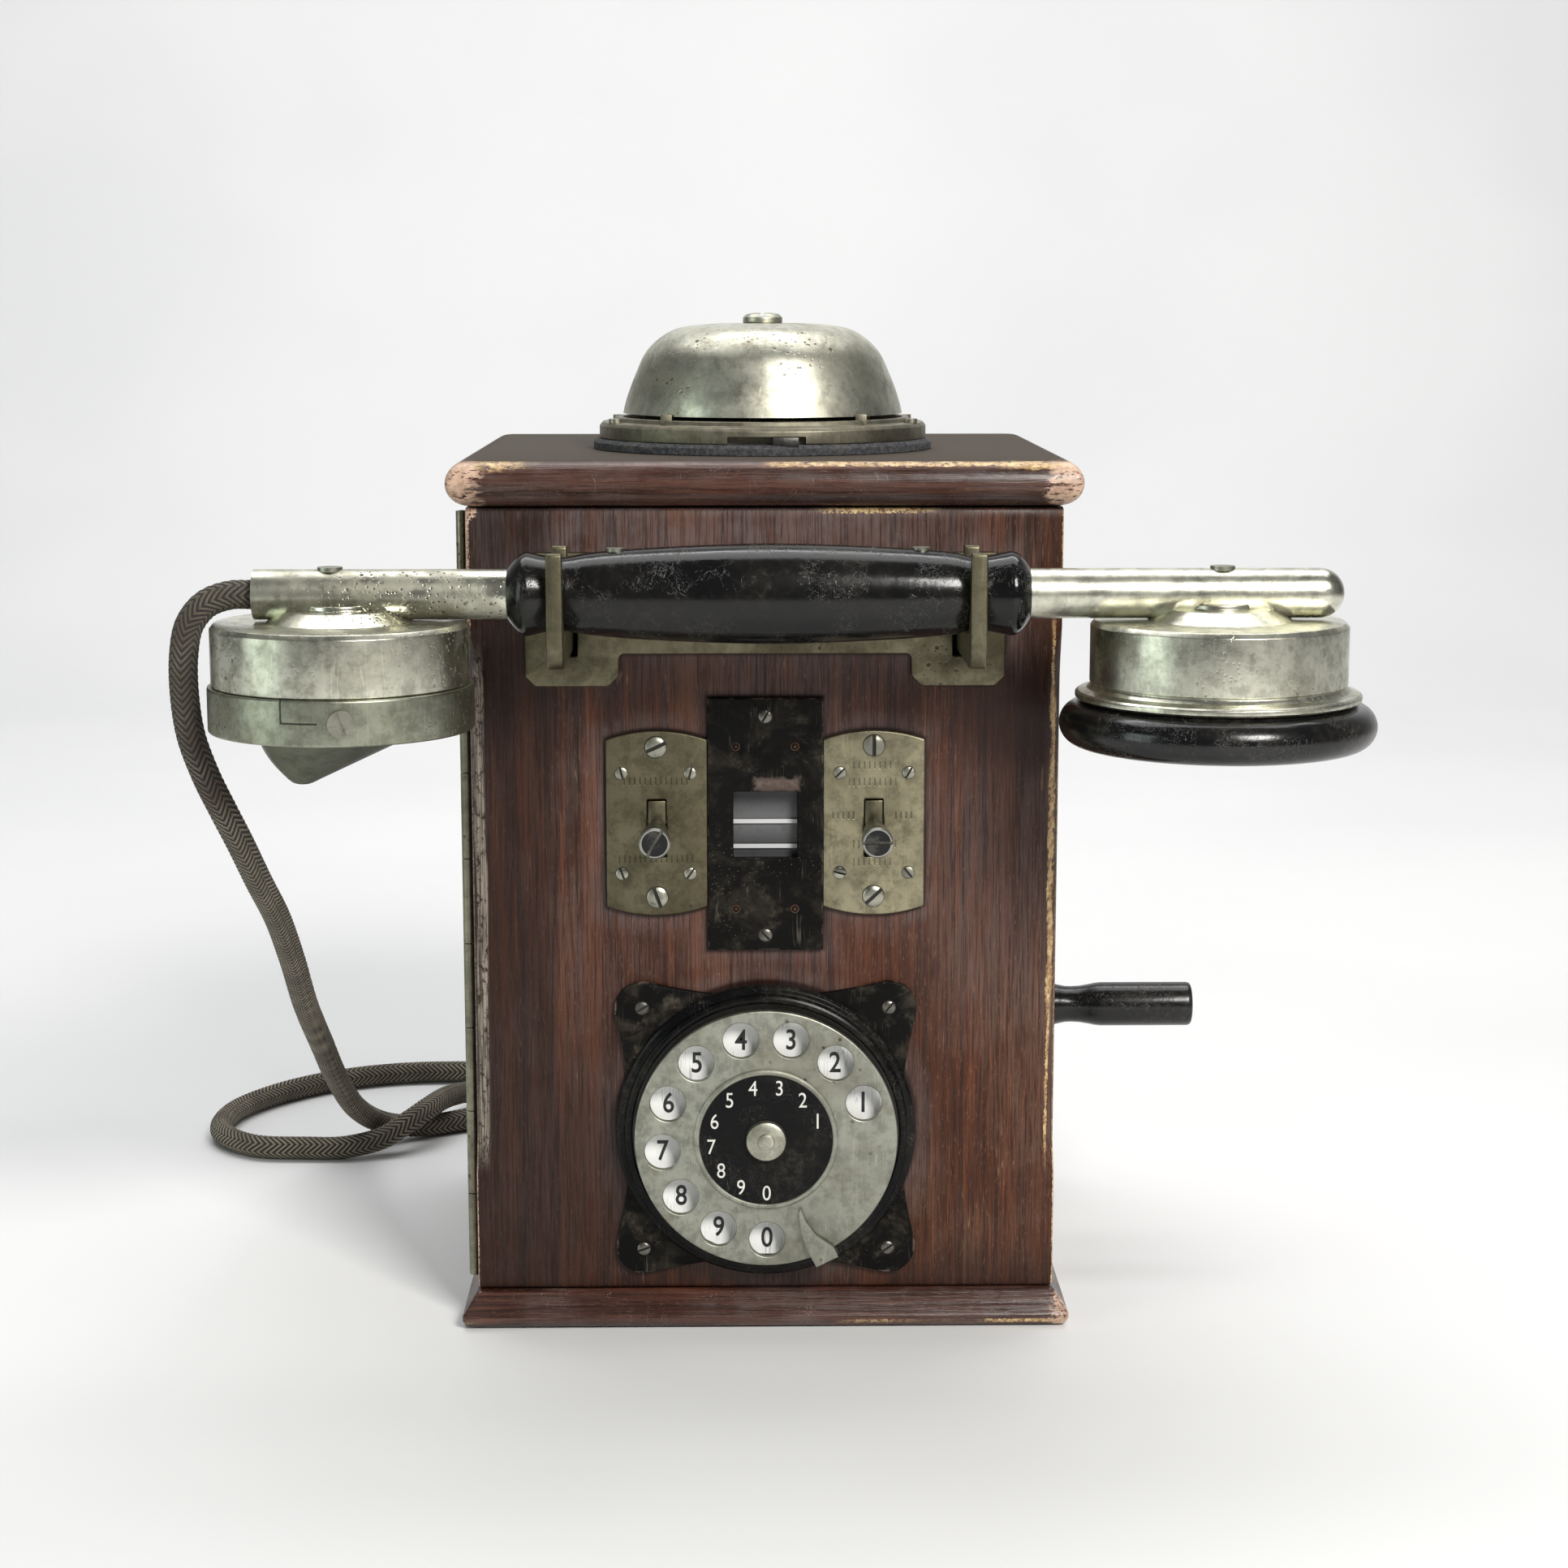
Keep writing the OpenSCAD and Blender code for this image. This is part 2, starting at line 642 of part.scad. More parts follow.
module indicator_shutter() {
    color("gainsboro") {
        span(-9.8, 9.8, front_y + 3, front_y + 4, 131, 168);
        for (z = [143.5, 150.8])
            span(-9.2, 9.2, front_y + 2.2, front_y + 3, z - 0.6, z + 0.6);
    }
}

// ---------- dial ----------
module dial_plate_outline() {
    lobe = 8;
    c = dial_plate_half - lobe;
    sag = 4.5;
    sag_r = 143;
    difference() {
        union() {
            square([2 * c, 2 * dial_plate_half], center = true);
            square([2 * dial_plate_half, 2 * c], center = true);
            for (x = [-c, c], y = [-c, c]) translate([x, y]) circle(lobe);
        }
        for (a = [0 : 90 : 270]) rotate(a) translate([dial_plate_half - sag + sag_r, 0])
            circle(sag_r, $fn = 180);
    }
}
module dial_base_plate() {
    color("black") difference() {
        xz_slab(plate_y, front_y) translate([0, dial_z]) dial_plate_outline();
        y_rod(24, 0, plate_y - 1, front_y + 1, dial_z);
        plate_screw_holes();
    }
}
module dial_ring() {
    color("black") translate([0, plate_y, dial_z]) rotate([90, 0, 0]) rotate_extrude()
        polygon([[38.8, 0], [dial_ring_r, 0], [dial_ring_r, 2.4], [dial_ring_r - 0.8, 3],
            [41.4, 3.2], [41, 5], [40.2, 5.4], [39.2, 5.4], [38.8, 5]]);
}
module dial_number_plate() {
    color("white") difference() {
        y_rod(38.8, 0, number_y, number_y + 1, dial_z);
        y_rod(dial_shaft_r + run_gap, 0, number_y - 1, number_y + 2, dial_z);
    }
}
module dial_mechanism() {
    color("goldenrod") difference() {
        union() {
            y_rod(24, 0, number_y + 1, -70, dial_z);
            y_rod(31, 0, -70, -46, dial_z);
        }
        y_rod(dial_shaft_r + run_gap, 0, number_y, -56, dial_z);
    }
}
module dial_finger_stop() {
    color("silver") translate([0, 0, dial_z]) {
        xz_slab(wheel_y - 2.2, wheel_y - 0.8) polygon([[9.9, -20.5], [11.6, -24.5],
            [14.5, -28.5], [19.6, -32], [20.9, -34.8], [14.6, -37.9], [13.4, -35.8],
            [11.3, -31], [10, -26.3], [9.5, -21.5]]);
        xz_slab(wheel_y - 0.8, plate_y - 5.4)
            polygon([[13.95, -36.6], [20.05, -33.8], [20.9, -34.8], [14.6, -37.9]]);
    }
}
module dial_finger_wheel() {
    color("silver") {
        difference() {
            y_rod(wheel_r, 0, wheel_y, wheel_y + wheel_t, dial_z, $fn = 96);
            for (k = [0 : 9]) y_rod(hole_r, hole_ring_r * cos(hole_first + k * hole_step),
                wheel_y - 1, wheel_y + wheel_t + 1,
                dial_z + hole_ring_r * sin(hole_first + k * hole_step));
            y_rod(dial_shaft_r, 0, wheel_y - 1, wheel_y + wheel_t + 1, dial_z);
        }
        y_rod(dial_shaft_r, 0, wheel_y, -58, dial_z);
    }
}
module dial_label_disc() {
    color("black") difference() {
        y_rod(label_r, 0, wheel_y - 0.9, wheel_y, dial_z);
        y_rod(2, 0, wheel_y - 2, wheel_y + 1, dial_z);
    }
}
module dial_nut() {
    color("silver") {
        translate([0, wheel_y - 0.9, dial_z]) rotate([90, 0, 0]) rotate_extrude()
            polygon([[0, 0], [5.9, 0], [5.9, 1.4], [5, 2.2], [2.6, 2.4], [2.4, 3], [0, 3.1]]);
        y_rod(2, 0, wheel_y - 0.9, wheel_y, dial_z);
    }
}

// ---------- cradle ----------
module fork_outline() {
    stem_y = bar_y1;
    difference() {
        union() {
            translate([hs_y - fork_out, fork_low_z + fork_bend])
                square([2 * fork_out, fork_top_z - fork_low_z - fork_bend]);
            translate([hs_y - fork_out + fork_bend, fork_low_z])
                square([2 * fork_out - fork_bend, fork_bend + 1]);
            translate([hs_y - fork_out + fork_bend, fork_low_z + fork_bend]) circle(fork_bend);
            translate([hs_y, fork_low_z]) square([stem_y - hs_y, 8]);
        }
        translate([hs_y, hs_z]) circle(fork_in);
        translate([hs_y - fork_in, hs_z]) square([2 * fork_in, 20]);
    }
}
module cradle() {
    color("darkkhaki") {
        for (s = [-1, 1])
            yz_slab(s * fork_x - fork_t / 2, s * fork_x + fork_t / 2) fork_outline();
        span(-fork_x + fork_t / 2, fork_x - fork_t / 2, bar_y0, bar_y1, fork_low_z, fork_low_z + 8);
    }
}

// ---------- handset ----------
module handset_tube() {
    color("silver") {
        difference() {
            x_rod(tube_r, tube_x0, tube_x1, hs_y, hs_z);
            for (x = tube_screw_x)
                z_rod(tube_screw_r, x, hs_y, hs_z + tube_r - screw_sink, hs_z + tube_r + 1);
        }
        intersection() {
            translate([tube_x1, hs_y, hs_z]) sphere(r = tube_r);
            span(tube_x1, tube_x1 + 20, hs_y - 20, hs_y + 20, hs_z - 20, hs_z + 20);
        }
    }
}
function swell(x) = 11.5 + (grip_r - 11.5) * cos(90 * (x - 1.5) / 48);
module handset_grip() {
    color("black") translate([0, hs_y, hs_z]) rotate([0, 90, 0]) difference() {
        rotate_extrude() polygon(concat(
            [[0, -70.4], [7.1, -70.4], [9.6, -68.2], [11.2, -66.4], [11.55, -65.2], [11.2, -63.4],
                [10.2, -58.4], [9.95, -56.4], [10.2, -54.6], [11.2, -48.4]],
            [for (x = [-46.5 : 8 : 49.5]) [swell(x), x]],
            [[11.2, 51.4], [10.2, 55.4], [9.95, 57.1], [10.2, 59], [11.3, 64.6], [11.6, 66.8],
                [11.2, 68.2], [9.6, 69.8], [7.1, 71.8], [0, 71.8]]
        ));
        translate([0, 0, -80]) cylinder(r = tube_r, h = 160);
        for (x = grip_screw_x) translate([-swell(x) - 2, 0, x]) rotate([0, 90, 0])
            cylinder(r = grip_screw_r, h = 2 + screw_sink);
    }
}
module handset_screws() {
    color("gray") {
        for (x = grip_screw_x) translate([x, hs_y, hs_z + swell(x) - screw_sink]) difference() {
            cylinder(r = grip_screw_r, h = 1.2);
            translate([0, 0, 1.2]) cube([6, 0.6, 0.8], center = true);
        }
        for (x = tube_screw_x) translate([x, hs_y, hs_z + tube_r - screw_sink]) difference() {
            cylinder(r = tube_screw_r, h = 1.2);
            translate([0, 0, 1.2]) cube([8, 0.7, 0.8], center = true);
        }
        bayonet_screw();
    }
}
module bayonet_screw() {
    translate([mic_x, hs_y, 190.4]) rotate([0, 0, bayonet_turn]) {
        difference() {
            y_rod(3.5, 0, -mic_ring_r - 1.9, -mic_ring_r - 0.25, 0);
            translate([0, -mic_ring_r - 1.9, 0]) rotate([0, 70, 0])
                cube([9, 1.2, 0.8], center = true);
        }
        y_rod(0.7, 0, -mic_ring_r - 0.25, -33.9, 0);
    }
}
// Stepped boss on top of a cup, cut to the tube above it
module cup_boss(x) {
    difference() {
        union() {
            z_rod(20, x, hs_y, cup_z1 - 0.8, cup_z1);
            translate([x, hs_y, cup_z1]) cylinder(r1 = 20, r2 = 14.8, h = 3.3);
            z_rod(9.3, x, hs_y, cup_z1 + 3, cup_z1 + 4.9);
        }
        x_rod(tube_r, tube_x0 - 10, tube_x1 + 20, hs_y, hs_z);
    }
}
module mic_cup() {
    color("silver") {
        cup_boss(mic_x);
        difference() {
            union() {
                translate([mic_x, hs_y, 0]) rotate_extrude()
                    polygon([[0, cup_z0], [mic_r, cup_z0], [mic_r, cup_z1 - 1.4],
                        [mic_r - 1.4, cup_z1 - 0.3], [33, cup_z1], [0, cup_z1]]);
                z_rod(33.9, mic_x, hs_y, 187, cup_z0);
            }
            z_rod(32.2, mic_x, hs_y, 186, cup_z1 - 1.6);
        }
    }
}
module mic_capsule() {
    color("goldenrod") {
        z_rod(30, mic_x, hs_y, 196, 206);
        z_rod(32.2, mic_x, hs_y, 193.5, 196);
        z_rod(10, mic_x, hs_y, 206, cup_z1 - 1.6);
    }
}
module mic_ring() {
    color("silver") difference() {
        z_rod(mic_ring_r, mic_x, hs_y, ring_z0, cup_z0 - 0.05);
        z_rod(34, mic_x, hs_y, ring_z0 + 2, cup_z0 + 1);
        z_rod(23.4, mic_x, hs_y, ring_z0 - 1, ring_z0 + 3);
        // Bayonet slot: a level run and a short leg up to the edge
        translate([mic_x, hs_y, 0]) {
            rotate([0, 0, -18.5]) translate([-0.8, -mic_ring_r - 1, 189.6]) cube([1.6, 5, 8]);
            intersection() {
                translate([0, 0, 189.6]) difference() {
                    cylinder(r = mic_ring_r + 1, h = 1.6);
                    translate([0, 0, -1]) cylinder(r = 33.9, h = 4);
                }
                for (a = [-18.5 : 4.25 : 7]) rotate([0, 0, a])
                    translate([-1.6, -mic_ring_r - 2, 189]) cube([3.2, 6, 3]);
            }
        }
        for (a = [0 : 30 : 330])
            z_rod(1.2, mic_x + 28.5 * cos(a), hs_y + 28.5 * sin(a), ring_z0 - 1, ring_z0 + 3);
    }
}
module horn_solid(r, drop, tip_r) {
    hull() {
        translate([mic_x, hs_y, ring_z0]) cylinder(r = r, h = 2, $fn = 32);
        translate([mic_x - 11, hs_y, ring_z0 - drop]) sphere(r = tip_r, $fn = 24);
    }
}
module mouthpiece() {
    color("gray") difference() {
        horn_solid(23.4, 12.4, 3);
        translate([0, 0, 1.6]) horn_solid(21.4, 11.4, 2);
    }
}
module ear_cup() {
    color("silver") {
        cup_boss(ear_x);
        translate([ear_x, hs_y, 0]) difference() {
            rotate_extrude() polygon([[0, 191.6], [ear_flange_r - 0.6, 191.6], [ear_flange_r, 192.2],
                [ear_flange_r, 193.4], [ear_flange_r - 0.6, 194], [ear_r + 0.4, 194.6],
                [ear_r, 195.6], [ear_r - 0.5, 195.8], [ear_r, 196.2], [ear_r, cup_z1 - 1.4],
                [ear_r - 1.4, cup_z1 - 0.3], [33, cup_z1], [0, cup_z1]]);
            translate([0, 0, 190]) cylinder(r = 32.6, h = cup_z1 - 191.6);
        }
    }
}
// Rounded rim of the black ear cap
ear_cap_arc = [for (a = [-90 : 15 : 80]) [37.4 + 6 * cos(a), 184.8 + 6 * sin(a)]];
module ear_cap() {
    color("black") translate([ear_x, hs_y, 0]) difference() {
        rotate_extrude() polygon(concat([[0, 182], [14, 181.4], [26, 180.6], [32, 178.8]],
            ear_cap_arc, [[38, 191.5], [0, 191.5]]));
        translate([0, 0, 175]) cylinder(r = 6, h = 20);
        translate([0, 0, 186]) cylinder(r = 32.6, h = 10);
    }
}
module receiver_diaphragm() {
    color("dimgray") z_rod(32.4, ear_x, hs_y, 191.9, 192.4);
}
module receiver_unit() {
    color("firebrick") {
        for (x = [-9, 9]) z_rod(6, ear_x + x, hs_y, 194, 205);
        z_rod(24, ear_x, hs_y, 205, cup_z1 - 1.6);
    }
}

// ---------- cord ----------
function unit(v) = v / norm(v);
function ring_turn(i) = unit(cord_route[min(i + 1, len(cord_route) - 1)]
    - cord_route[max(i - 1, 0)]);
function ring_points(i) =
    let (t = i == 0 ? [-1, 0, 0] : i == len(cord_route) - 1 ? [0, -1, 0] : ring_turn(i),
        u = unit(cross(t, [1, -1, 1])), v = cross(t, u))
    [for (k = [0 : cord_sides - 1])
        cord_route[i] + cord_d / 2 * (u * cos(k * 360 / cord_sides) + v * sin(k * 360 / cord_sides))];
module cord_tube(first, last) {
    n = last - first;
    points = [for (i = [first : last]) each ring_points(i)];
    sides = [for (i = [0 : n - 1], k = [0 : cord_sides - 1])
        let (a = i * cord_sides + k, b = i * cord_sides + (k + 1) % cord_sides)
        each [[a, a + cord_sides, b], [b, a + cord_sides, b + cord_sides]]];
    ends = [[for (k = [0 : cord_sides - 1]) k],
        [for (k = [cord_sides - 1 : -1 : 0]) n * cord_sides + k]];
    polyhedron(points, concat(sides, ends));
}
module cord_upper() {
    color("dimgray") cord_tube(0, cord_cut);
}
module cord_lower() {
    color("dimgray") cord_tube(cord_cut, len(cord_route) - 1);
}

base_board();
side_left();
side_right();
back_board();
top_board();
hinge_leaf_case();
hinge_pin();
crank_bush();
cord_gland();
bell_gasket();
bell_base_ring();
bell_ring_screws();
bell_gong();
bell_screw();
ringer_frame();
ringer_coils();
bell_clapper();
magneto_frame();
magneto_magnets();
magneto_armature();
drive_gear();
crank_shaft();
crank_arm();
crank_handle();
induction_coil();
terminal_strip();
contact_springs();
door_panel();
hinge_leaf_door();
hook_backplate();
plate_screws();
key_plate_left();
key_plate_right();
key_lever_left();
key_lever_right();
indicator_plate();
indicator_housing();
indicator_shutter();
dial_base_plate();
dial_ring();
dial_number_plate();
dial_finger_stop();
dial_mechanism();
dial_finger_wheel();
dial_label_disc();
dial_nut();
cradle();
handset_grip();
handset_tube();
handset_screws();
mic_cup();
mic_capsule();
mic_ring();
mouthpiece();
ear_cup();
ear_cap();
receiver_unit();
receiver_diaphragm();
cord_upper();
cord_lower();
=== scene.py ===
import math

import bmesh
import bpy
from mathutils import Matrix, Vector, noise


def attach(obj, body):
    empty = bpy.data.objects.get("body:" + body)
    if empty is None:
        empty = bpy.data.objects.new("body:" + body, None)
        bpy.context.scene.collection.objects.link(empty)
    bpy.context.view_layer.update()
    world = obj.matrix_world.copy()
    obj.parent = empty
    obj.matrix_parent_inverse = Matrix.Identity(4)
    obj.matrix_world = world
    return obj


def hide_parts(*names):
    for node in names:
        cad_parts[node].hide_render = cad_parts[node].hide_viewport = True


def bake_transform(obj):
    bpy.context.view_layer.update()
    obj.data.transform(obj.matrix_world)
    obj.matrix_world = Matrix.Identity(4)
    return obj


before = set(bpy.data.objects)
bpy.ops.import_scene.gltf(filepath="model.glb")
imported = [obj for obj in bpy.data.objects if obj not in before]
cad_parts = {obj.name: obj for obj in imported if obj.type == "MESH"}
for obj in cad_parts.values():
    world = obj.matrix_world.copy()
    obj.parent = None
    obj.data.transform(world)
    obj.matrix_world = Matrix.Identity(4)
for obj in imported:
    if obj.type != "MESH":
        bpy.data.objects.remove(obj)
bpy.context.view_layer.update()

MM = 0.001
TAU = 2 * math.pi

# Places shared by several pieces, in millimetres in the part's own frame
HALF_W = 85
FRONT_Y = -78
DOOR_BACK_Y = -66.8
BACK_Y = 78
PLATE_Y = -80
BASE_H = 10.5
ROOF_Z = 242
CASE_H = 255
BELL_Y = -11
GONG_Z = 265.7
GONG_R = 42.4
GONG_H = 26.8
HANDSET_Y = -114
HANDSET_Z = 220.7
MIC_X = -116.2
EAR_X = 124
KEY_X = 31.25
KEY_Z = 150.9
LEVER_Z = 149.5
KNOB_Y = -0.104
FORK_X = 57
DIAL_Z = 60
WHEEL_Y = -91
NUMBER_Y = -85.2
SHAFT_Y = 2
CRANK_Z = 77

# The braid: a yarn's pitch along the cord, half a turn of the zigzag, its slope, and how proud a yarn stands
YARN = 2.0
ZIG = 3.14
ZIG_SLOPE = 1.1
YARN_RISE = 0.14

# The microphone's ring and horn, and the dial's wheel
RING_LOW_Z = 184
HORN_R = 23.4
HORN_LEAN = 11
HORN_DROP = 14.6
WHEEL_R = 38.1
HOLE_CIRCLE_R = 30.2
HOLE_R = 5.2
LABEL_CIRCLE_R = 15.9
FIRST_HOLE = 20.5
HOLE_STEP = 27.78

# Fittings on the door, as half width and low and high z, or as places
FORK_SLOT = (3.4, 199.4, 216.9)
PIN_SPOTS = [(x, z) for x in (-8.5, 8.5) for z in (125.8, 173.3)]
SHAFT_HOLE_R = 6.02
POST_HOLE_R = 4.05


# ---------- materials ----------
class Paint:
    """A material's node tree, built by short calls that each return a socket."""

    def __init__(self, name):
        self.material = bpy.data.materials.new(name)
        self.material.use_nodes = True
        self.nodes = self.material.node_tree.nodes
        self.links = self.material.node_tree.links
        self.bsdf = self.nodes["Principled BSDF"]
        self.pos = self.add("ShaderNodeTexCoord").outputs["Object"]
        split = self.add("ShaderNodeSeparateXYZ")
        self.links.new(self.pos, split.inputs[0])
        self.x, self.y, self.z = split.outputs

    def add(self, kind, **settings):
        node = self.nodes.new(kind)
        for key, value in settings.items():
            setattr(node, key, value)
        return node

    def plug(self, socket, value):
        if isinstance(value, bpy.types.NodeSocket):
            self.links.new(value, socket)
        else:
            socket.default_value = value

    def math(self, operation, *values, clamp=False):
        node = self.add("ShaderNodeMath", operation=operation, use_clamp=clamp)
        for socket, value in zip(node.inputs, values):
            self.plug(socket, value)
        return node.outputs[0]

    def scaled(self, sx, sy, sz, turn=(0, 0, 0), vector=None):
        node = self.add("ShaderNodeMapping")
        self.links.new(vector or self.pos, node.inputs["Vector"])
        node.inputs["Rotation"].default_value = [math.radians(a) for a in turn]
        node.inputs["Scale"].default_value = (sx, sy, sz)
        return node.outputs[0]

    def noise(self, scale, detail=3, rough=0.5, vector=None, distort=0.0):
        node = self.add("ShaderNodeTexNoise")
        self.links.new(vector or self.pos, node.inputs["Vector"])
        node.inputs["Scale"].default_value = scale
        node.inputs["Detail"].default_value = detail
        node.inputs["Roughness"].default_value = rough
        node.inputs["Distortion"].default_value = distort
        return node.outputs["Fac"]

    def cells(self, scale):
        node = self.add("ShaderNodeTexVoronoi")
        self.links.new(self.pos, node.inputs["Vector"])
        node.inputs["Scale"].default_value = scale
        return node.outputs["Distance"]

    def fade(self, value, low, high, to_low=0.0, to_high=1.0):
        node = self.add("ShaderNodeMapRange", interpolation_type="SMOOTHSTEP")
        for socket, item in zip(node.inputs, (value, low, high, to_low, to_high)):
            self.plug(socket, item)
        return node.outputs[0]

    def mix(self, factor, a, b, mode="MIX"):
        node = self.add("ShaderNodeMix", data_type="RGBA", blend_type=mode)
        for socket, item in zip((node.inputs[0], node.inputs[6], node.inputs[7]), (factor, a, b)):
            if isinstance(item, tuple):
                item = (*item, 1.0)
            self.plug(socket, item)
        return node.outputs[2]

    def coat(self, share, over, mode="MIX"):
        """Lays a colour over the one so far, by a share."""
        self.color = self.mix(share, self.color, over, mode)

    def mul(self, *values):
        result = values[0]
        for value in values[1:]:
            result = self.math("MULTIPLY", result, value, clamp=True)
        return result

    def most(self, *values):
        result = values[0]
        for value in values[1:]:
            result = self.math("MAXIMUM", result, value)
        return result

    def less(self, value):
        return self.math("SUBTRACT", 1.0, value, clamp=True)

    def plus(self, a, b):
        return self.math("ADD", a, b)

    def minus(self, a, b):
        return self.math("SUBTRACT", a, b)

    def times(self, a, b):
        return self.math("MULTIPLY", a, b)

    def least(self, a, b):
        return self.math("MINIMUM", a, b)

    def size(self, value):
        return self.math("ABSOLUTE", value)

    def zigzag(self, value, top):
        return self.math("PINGPONG", value, top)

    def drop(self, value, low, high):
        """One up to low, falling to nothing at high."""
        return self.less(self.fade(value, low, high))

    def between(self, value, start, full, fall, end):
        """One from full to fall, fading to nothing at start and end."""
        return self.mul(self.fade(value, start, full), self.drop(value, fall, end))

    def off_line(self, value, place):
        """Distance in metres from a place along one axis."""
        return self.size(self.minus(value, place * MM))

    def off_box(self, cx, cz, hx, hz):
        """Distance in metres outside a rectangle in the X-Z plane."""
        dx = self.minus(self.off_line(self.x, cx), hx * MM)
        return self.most(dx, self.minus(self.off_line(self.z, cz), hz * MM))

    def off_circle(self, cx, cz, radius, u=None, v=None):
        """Distance in metres outside a circle, in the X-Z plane unless told otherwise."""
        dx = self.minus(u or self.x, cx * MM)
        dz = self.minus(v or self.z, cz * MM)
        square = self.plus(self.times(dx, dx), self.times(dz, dz))
        return self.minus(self.math("SQRT", square), radius * MM)

    def bump(self, height, distance, strength):
        node = self.add("ShaderNodeBump")
        self.plug(node.inputs["Height"], height)
        node.inputs["Distance"].default_value = distance
        node.inputs["Strength"].default_value = strength
        return node.outputs[0]

    def scratches(self, scale, turn, width=0.012, share=0.5, plane="XZ"):
        """Thin long lines at one angle, broken up by a slow noise."""
        thin = (40.0, 40.0, 1.6) if plane == "XZ" else (40.0, 1.6, 40.0)
        lines = self.noise(scale, 2, 0.6, self.scaled(*thin, turn=turn), 0.4)
        near = self.size(self.minus(lines, 0.5))
        return self.mul(self.drop(near, 0.0, width), self.fade(self.noise(90, 2), share, share + 0.12))

    def finish(self, rough, metallic=0.0, normal=None, **sockets):
        self.plug(self.bsdf.inputs["Base Color"], self.color)
        self.plug(self.bsdf.inputs["Roughness"], rough)
        self.plug(self.bsdf.inputs["Metallic"], metallic)
        if normal is not None:
            self.links.new(normal, self.bsdf.inputs["Normal"])
        for key, value in sockets.items():
            self.bsdf.inputs[key.replace("_", " ")].default_value = value
        return self.material


def shade(color, share):
    return tuple(share * c for c in color)


def wood(name, along, base=(0.1, 0.03, 0.0125), dark=(0.02, 0.0068, 0.0042), wear=None, halo=None,
         sheen_share=0.5, gloss=(0.32, 0.6), specular=0.26, dusty_from=None):
    """Old varnished wood; along is the axis of its grain, under a grey painted sheen scaled by sheen_share.
    Above dusty_from the varnish is brown and dull.
    """
    p = Paint(name)
    slow, fast = 7.0, 230.0
    stretch = [slow if axis == along else fast for axis in "XYZ"]
    broad = [1.2 if axis == along else 30.0 for axis in "XYZ"]
    grain = p.noise(1.0, 5, 0.62, p.scaled(*stretch), 0.5)
    fine = p.noise(4.2, 4, 0.72, p.scaled(*stretch), 0.2)
    hairs = p.noise(9.0, 3, 0.7, p.scaled(*stretch), 0.3)
    stripe = p.noise(1.0, 3, 0.6, p.scaled(*broad), 0.4)
    cloud = p.noise(22, 5, 0.65)
    dashes = p.noise(2.6, 2, 0.5, p.scaled(*[c * 3.4 if c == fast else c * 26 for c in stretch]))
    p.color = p.mix(p.fade(grain, 0.36, 0.62), dark, base)
    middling = tuple(0.35 * c + 0.5 * d for c, d in zip(base, dark))
    p.coat(p.fade(stripe, 0.44, 0.6, 0.0, 0.7), middling)
    p.coat(p.fade(stripe, 0.46, 0.3, 0.0, 0.7), (1.5 * base[0], 1.75 * base[1], 1.5 * base[2]))
    p.coat(p.fade(fine, 0.52, 0.36, 0.0, 0.6), dark)
    p.coat(p.fade(fine, 0.54, 0.68, 0.0, 0.45), (1.7 * base[0], 1.9 * base[1], 1.8 * base[2]))
    # painted sheen: a grey cast over the grain in clouds, for the reflection on the varnish; sheen_share sets
    # how much
    sheen = p.mul(p.fade(cloud, 0.42, 0.64), p.fade(hairs, 0.42, 0.6, 0.15, 1.0))
    p.coat(p.mul(sheen, sheen_share), (0.105, 0.07, 0.062))
    p.coat(p.fade(hairs, 0.5, 0.36, 0.0, 0.55), shade(dark, 0.6))
    p.coat(p.mul(p.fade(dashes, 0.6, 0.72), 0.35), (0.16, 0.09, 0.07))
    marks = p.most(p.scratches(5, (0, 38, 0), 0.006, 0.52), p.scratches(7, (0, -33, 0), 0.005, 0.55),
                   p.scratches(4, (0, 71, 0), 0.004, 0.56))
    p.coat(p.mul(marks, 0.5), (0.26, 0.16, 0.12))
    if halo:
        grime_and_shade, bloom_and_sheen, warm = halo(p)
        p.coat(warm, (1.25, 1.15, 0.92), "MULTIPLY")
        # grey bloom round the plates, plus painted sheen over the upper door and a grey wash on the right
        # middle
        p.coat(p.mul(bloom_and_sheen, p.fade(hairs, 0.38, 0.6, 0.35, 1.0)), (0.15, 0.115, 0.112))
        # grime and painted shade: by the plates, the ear cup's painted shadow, and darker left edge, lower left
        # and foot
        p.coat(grime_and_shade, shade(dark, 0.5))
    if wear:
        worn, chipped, frayed = wear(p)
        grey = p.mix(p.fade(hairs, 0.4, 0.6), (0.07, 0.05, 0.038), (0.4, 0.33, 0.27))
        bare = p.mix(p.fade(p.noise(420, 3, 0.7), 0.35, 0.65), (0.34, 0.2, 0.085), (0.7, 0.5, 0.25))
        pale = p.mix(p.fade(p.noise(210, 4, 0.7), 0.36, 0.64), (0.4, 0.25, 0.18), (0.62, 0.43, 0.32))
        p.coat(frayed, grey)
        p.coat(worn, bare)
        p.coat(chipped, pale)
    rough = p.fade(p.noise(60, 4, 0.6), 0.3, 0.75, *gloss)
    relief = p.plus(p.times(fine, 0.5), p.times(grain, 0.5))
    relief = p.minus(relief, p.times(marks, 0.3))
    if dusty_from:
        top = p.math("DIVIDE", p.minus(p.z, dusty_from * MM), 0.7 * MM, clamp=True)
        p.coat(p.mul(top, 0.9), (0.042, 0.03, 0.018))
        rough = p.plus(p.times(rough, p.less(top)), p.times(top, 0.85))
    return p.finish(rough, 0.0, p.bump(relief, 0.0006, 0.5), Specular_IOR_Level=specular)


def edge_wear(p, distance, reach, scale=150, low=0.46, vector=None):
    """Wear that breaks into flecks away from an edge; distance is in metres from the edge."""
    ragged = p.noise(scale, 5, 0.7, vector)
    flecks = p.noise(scale * 5.5, 3, 0.7, vector)
    near = p.drop(distance, 0.0, reach * MM)
    body = p.fade(p.times(near, ragged), low * 0.5, low * 0.72)
    return p.mul(body, p.fade(p.plus(flecks, p.times(near, 0.2)), 0.56, 0.66))


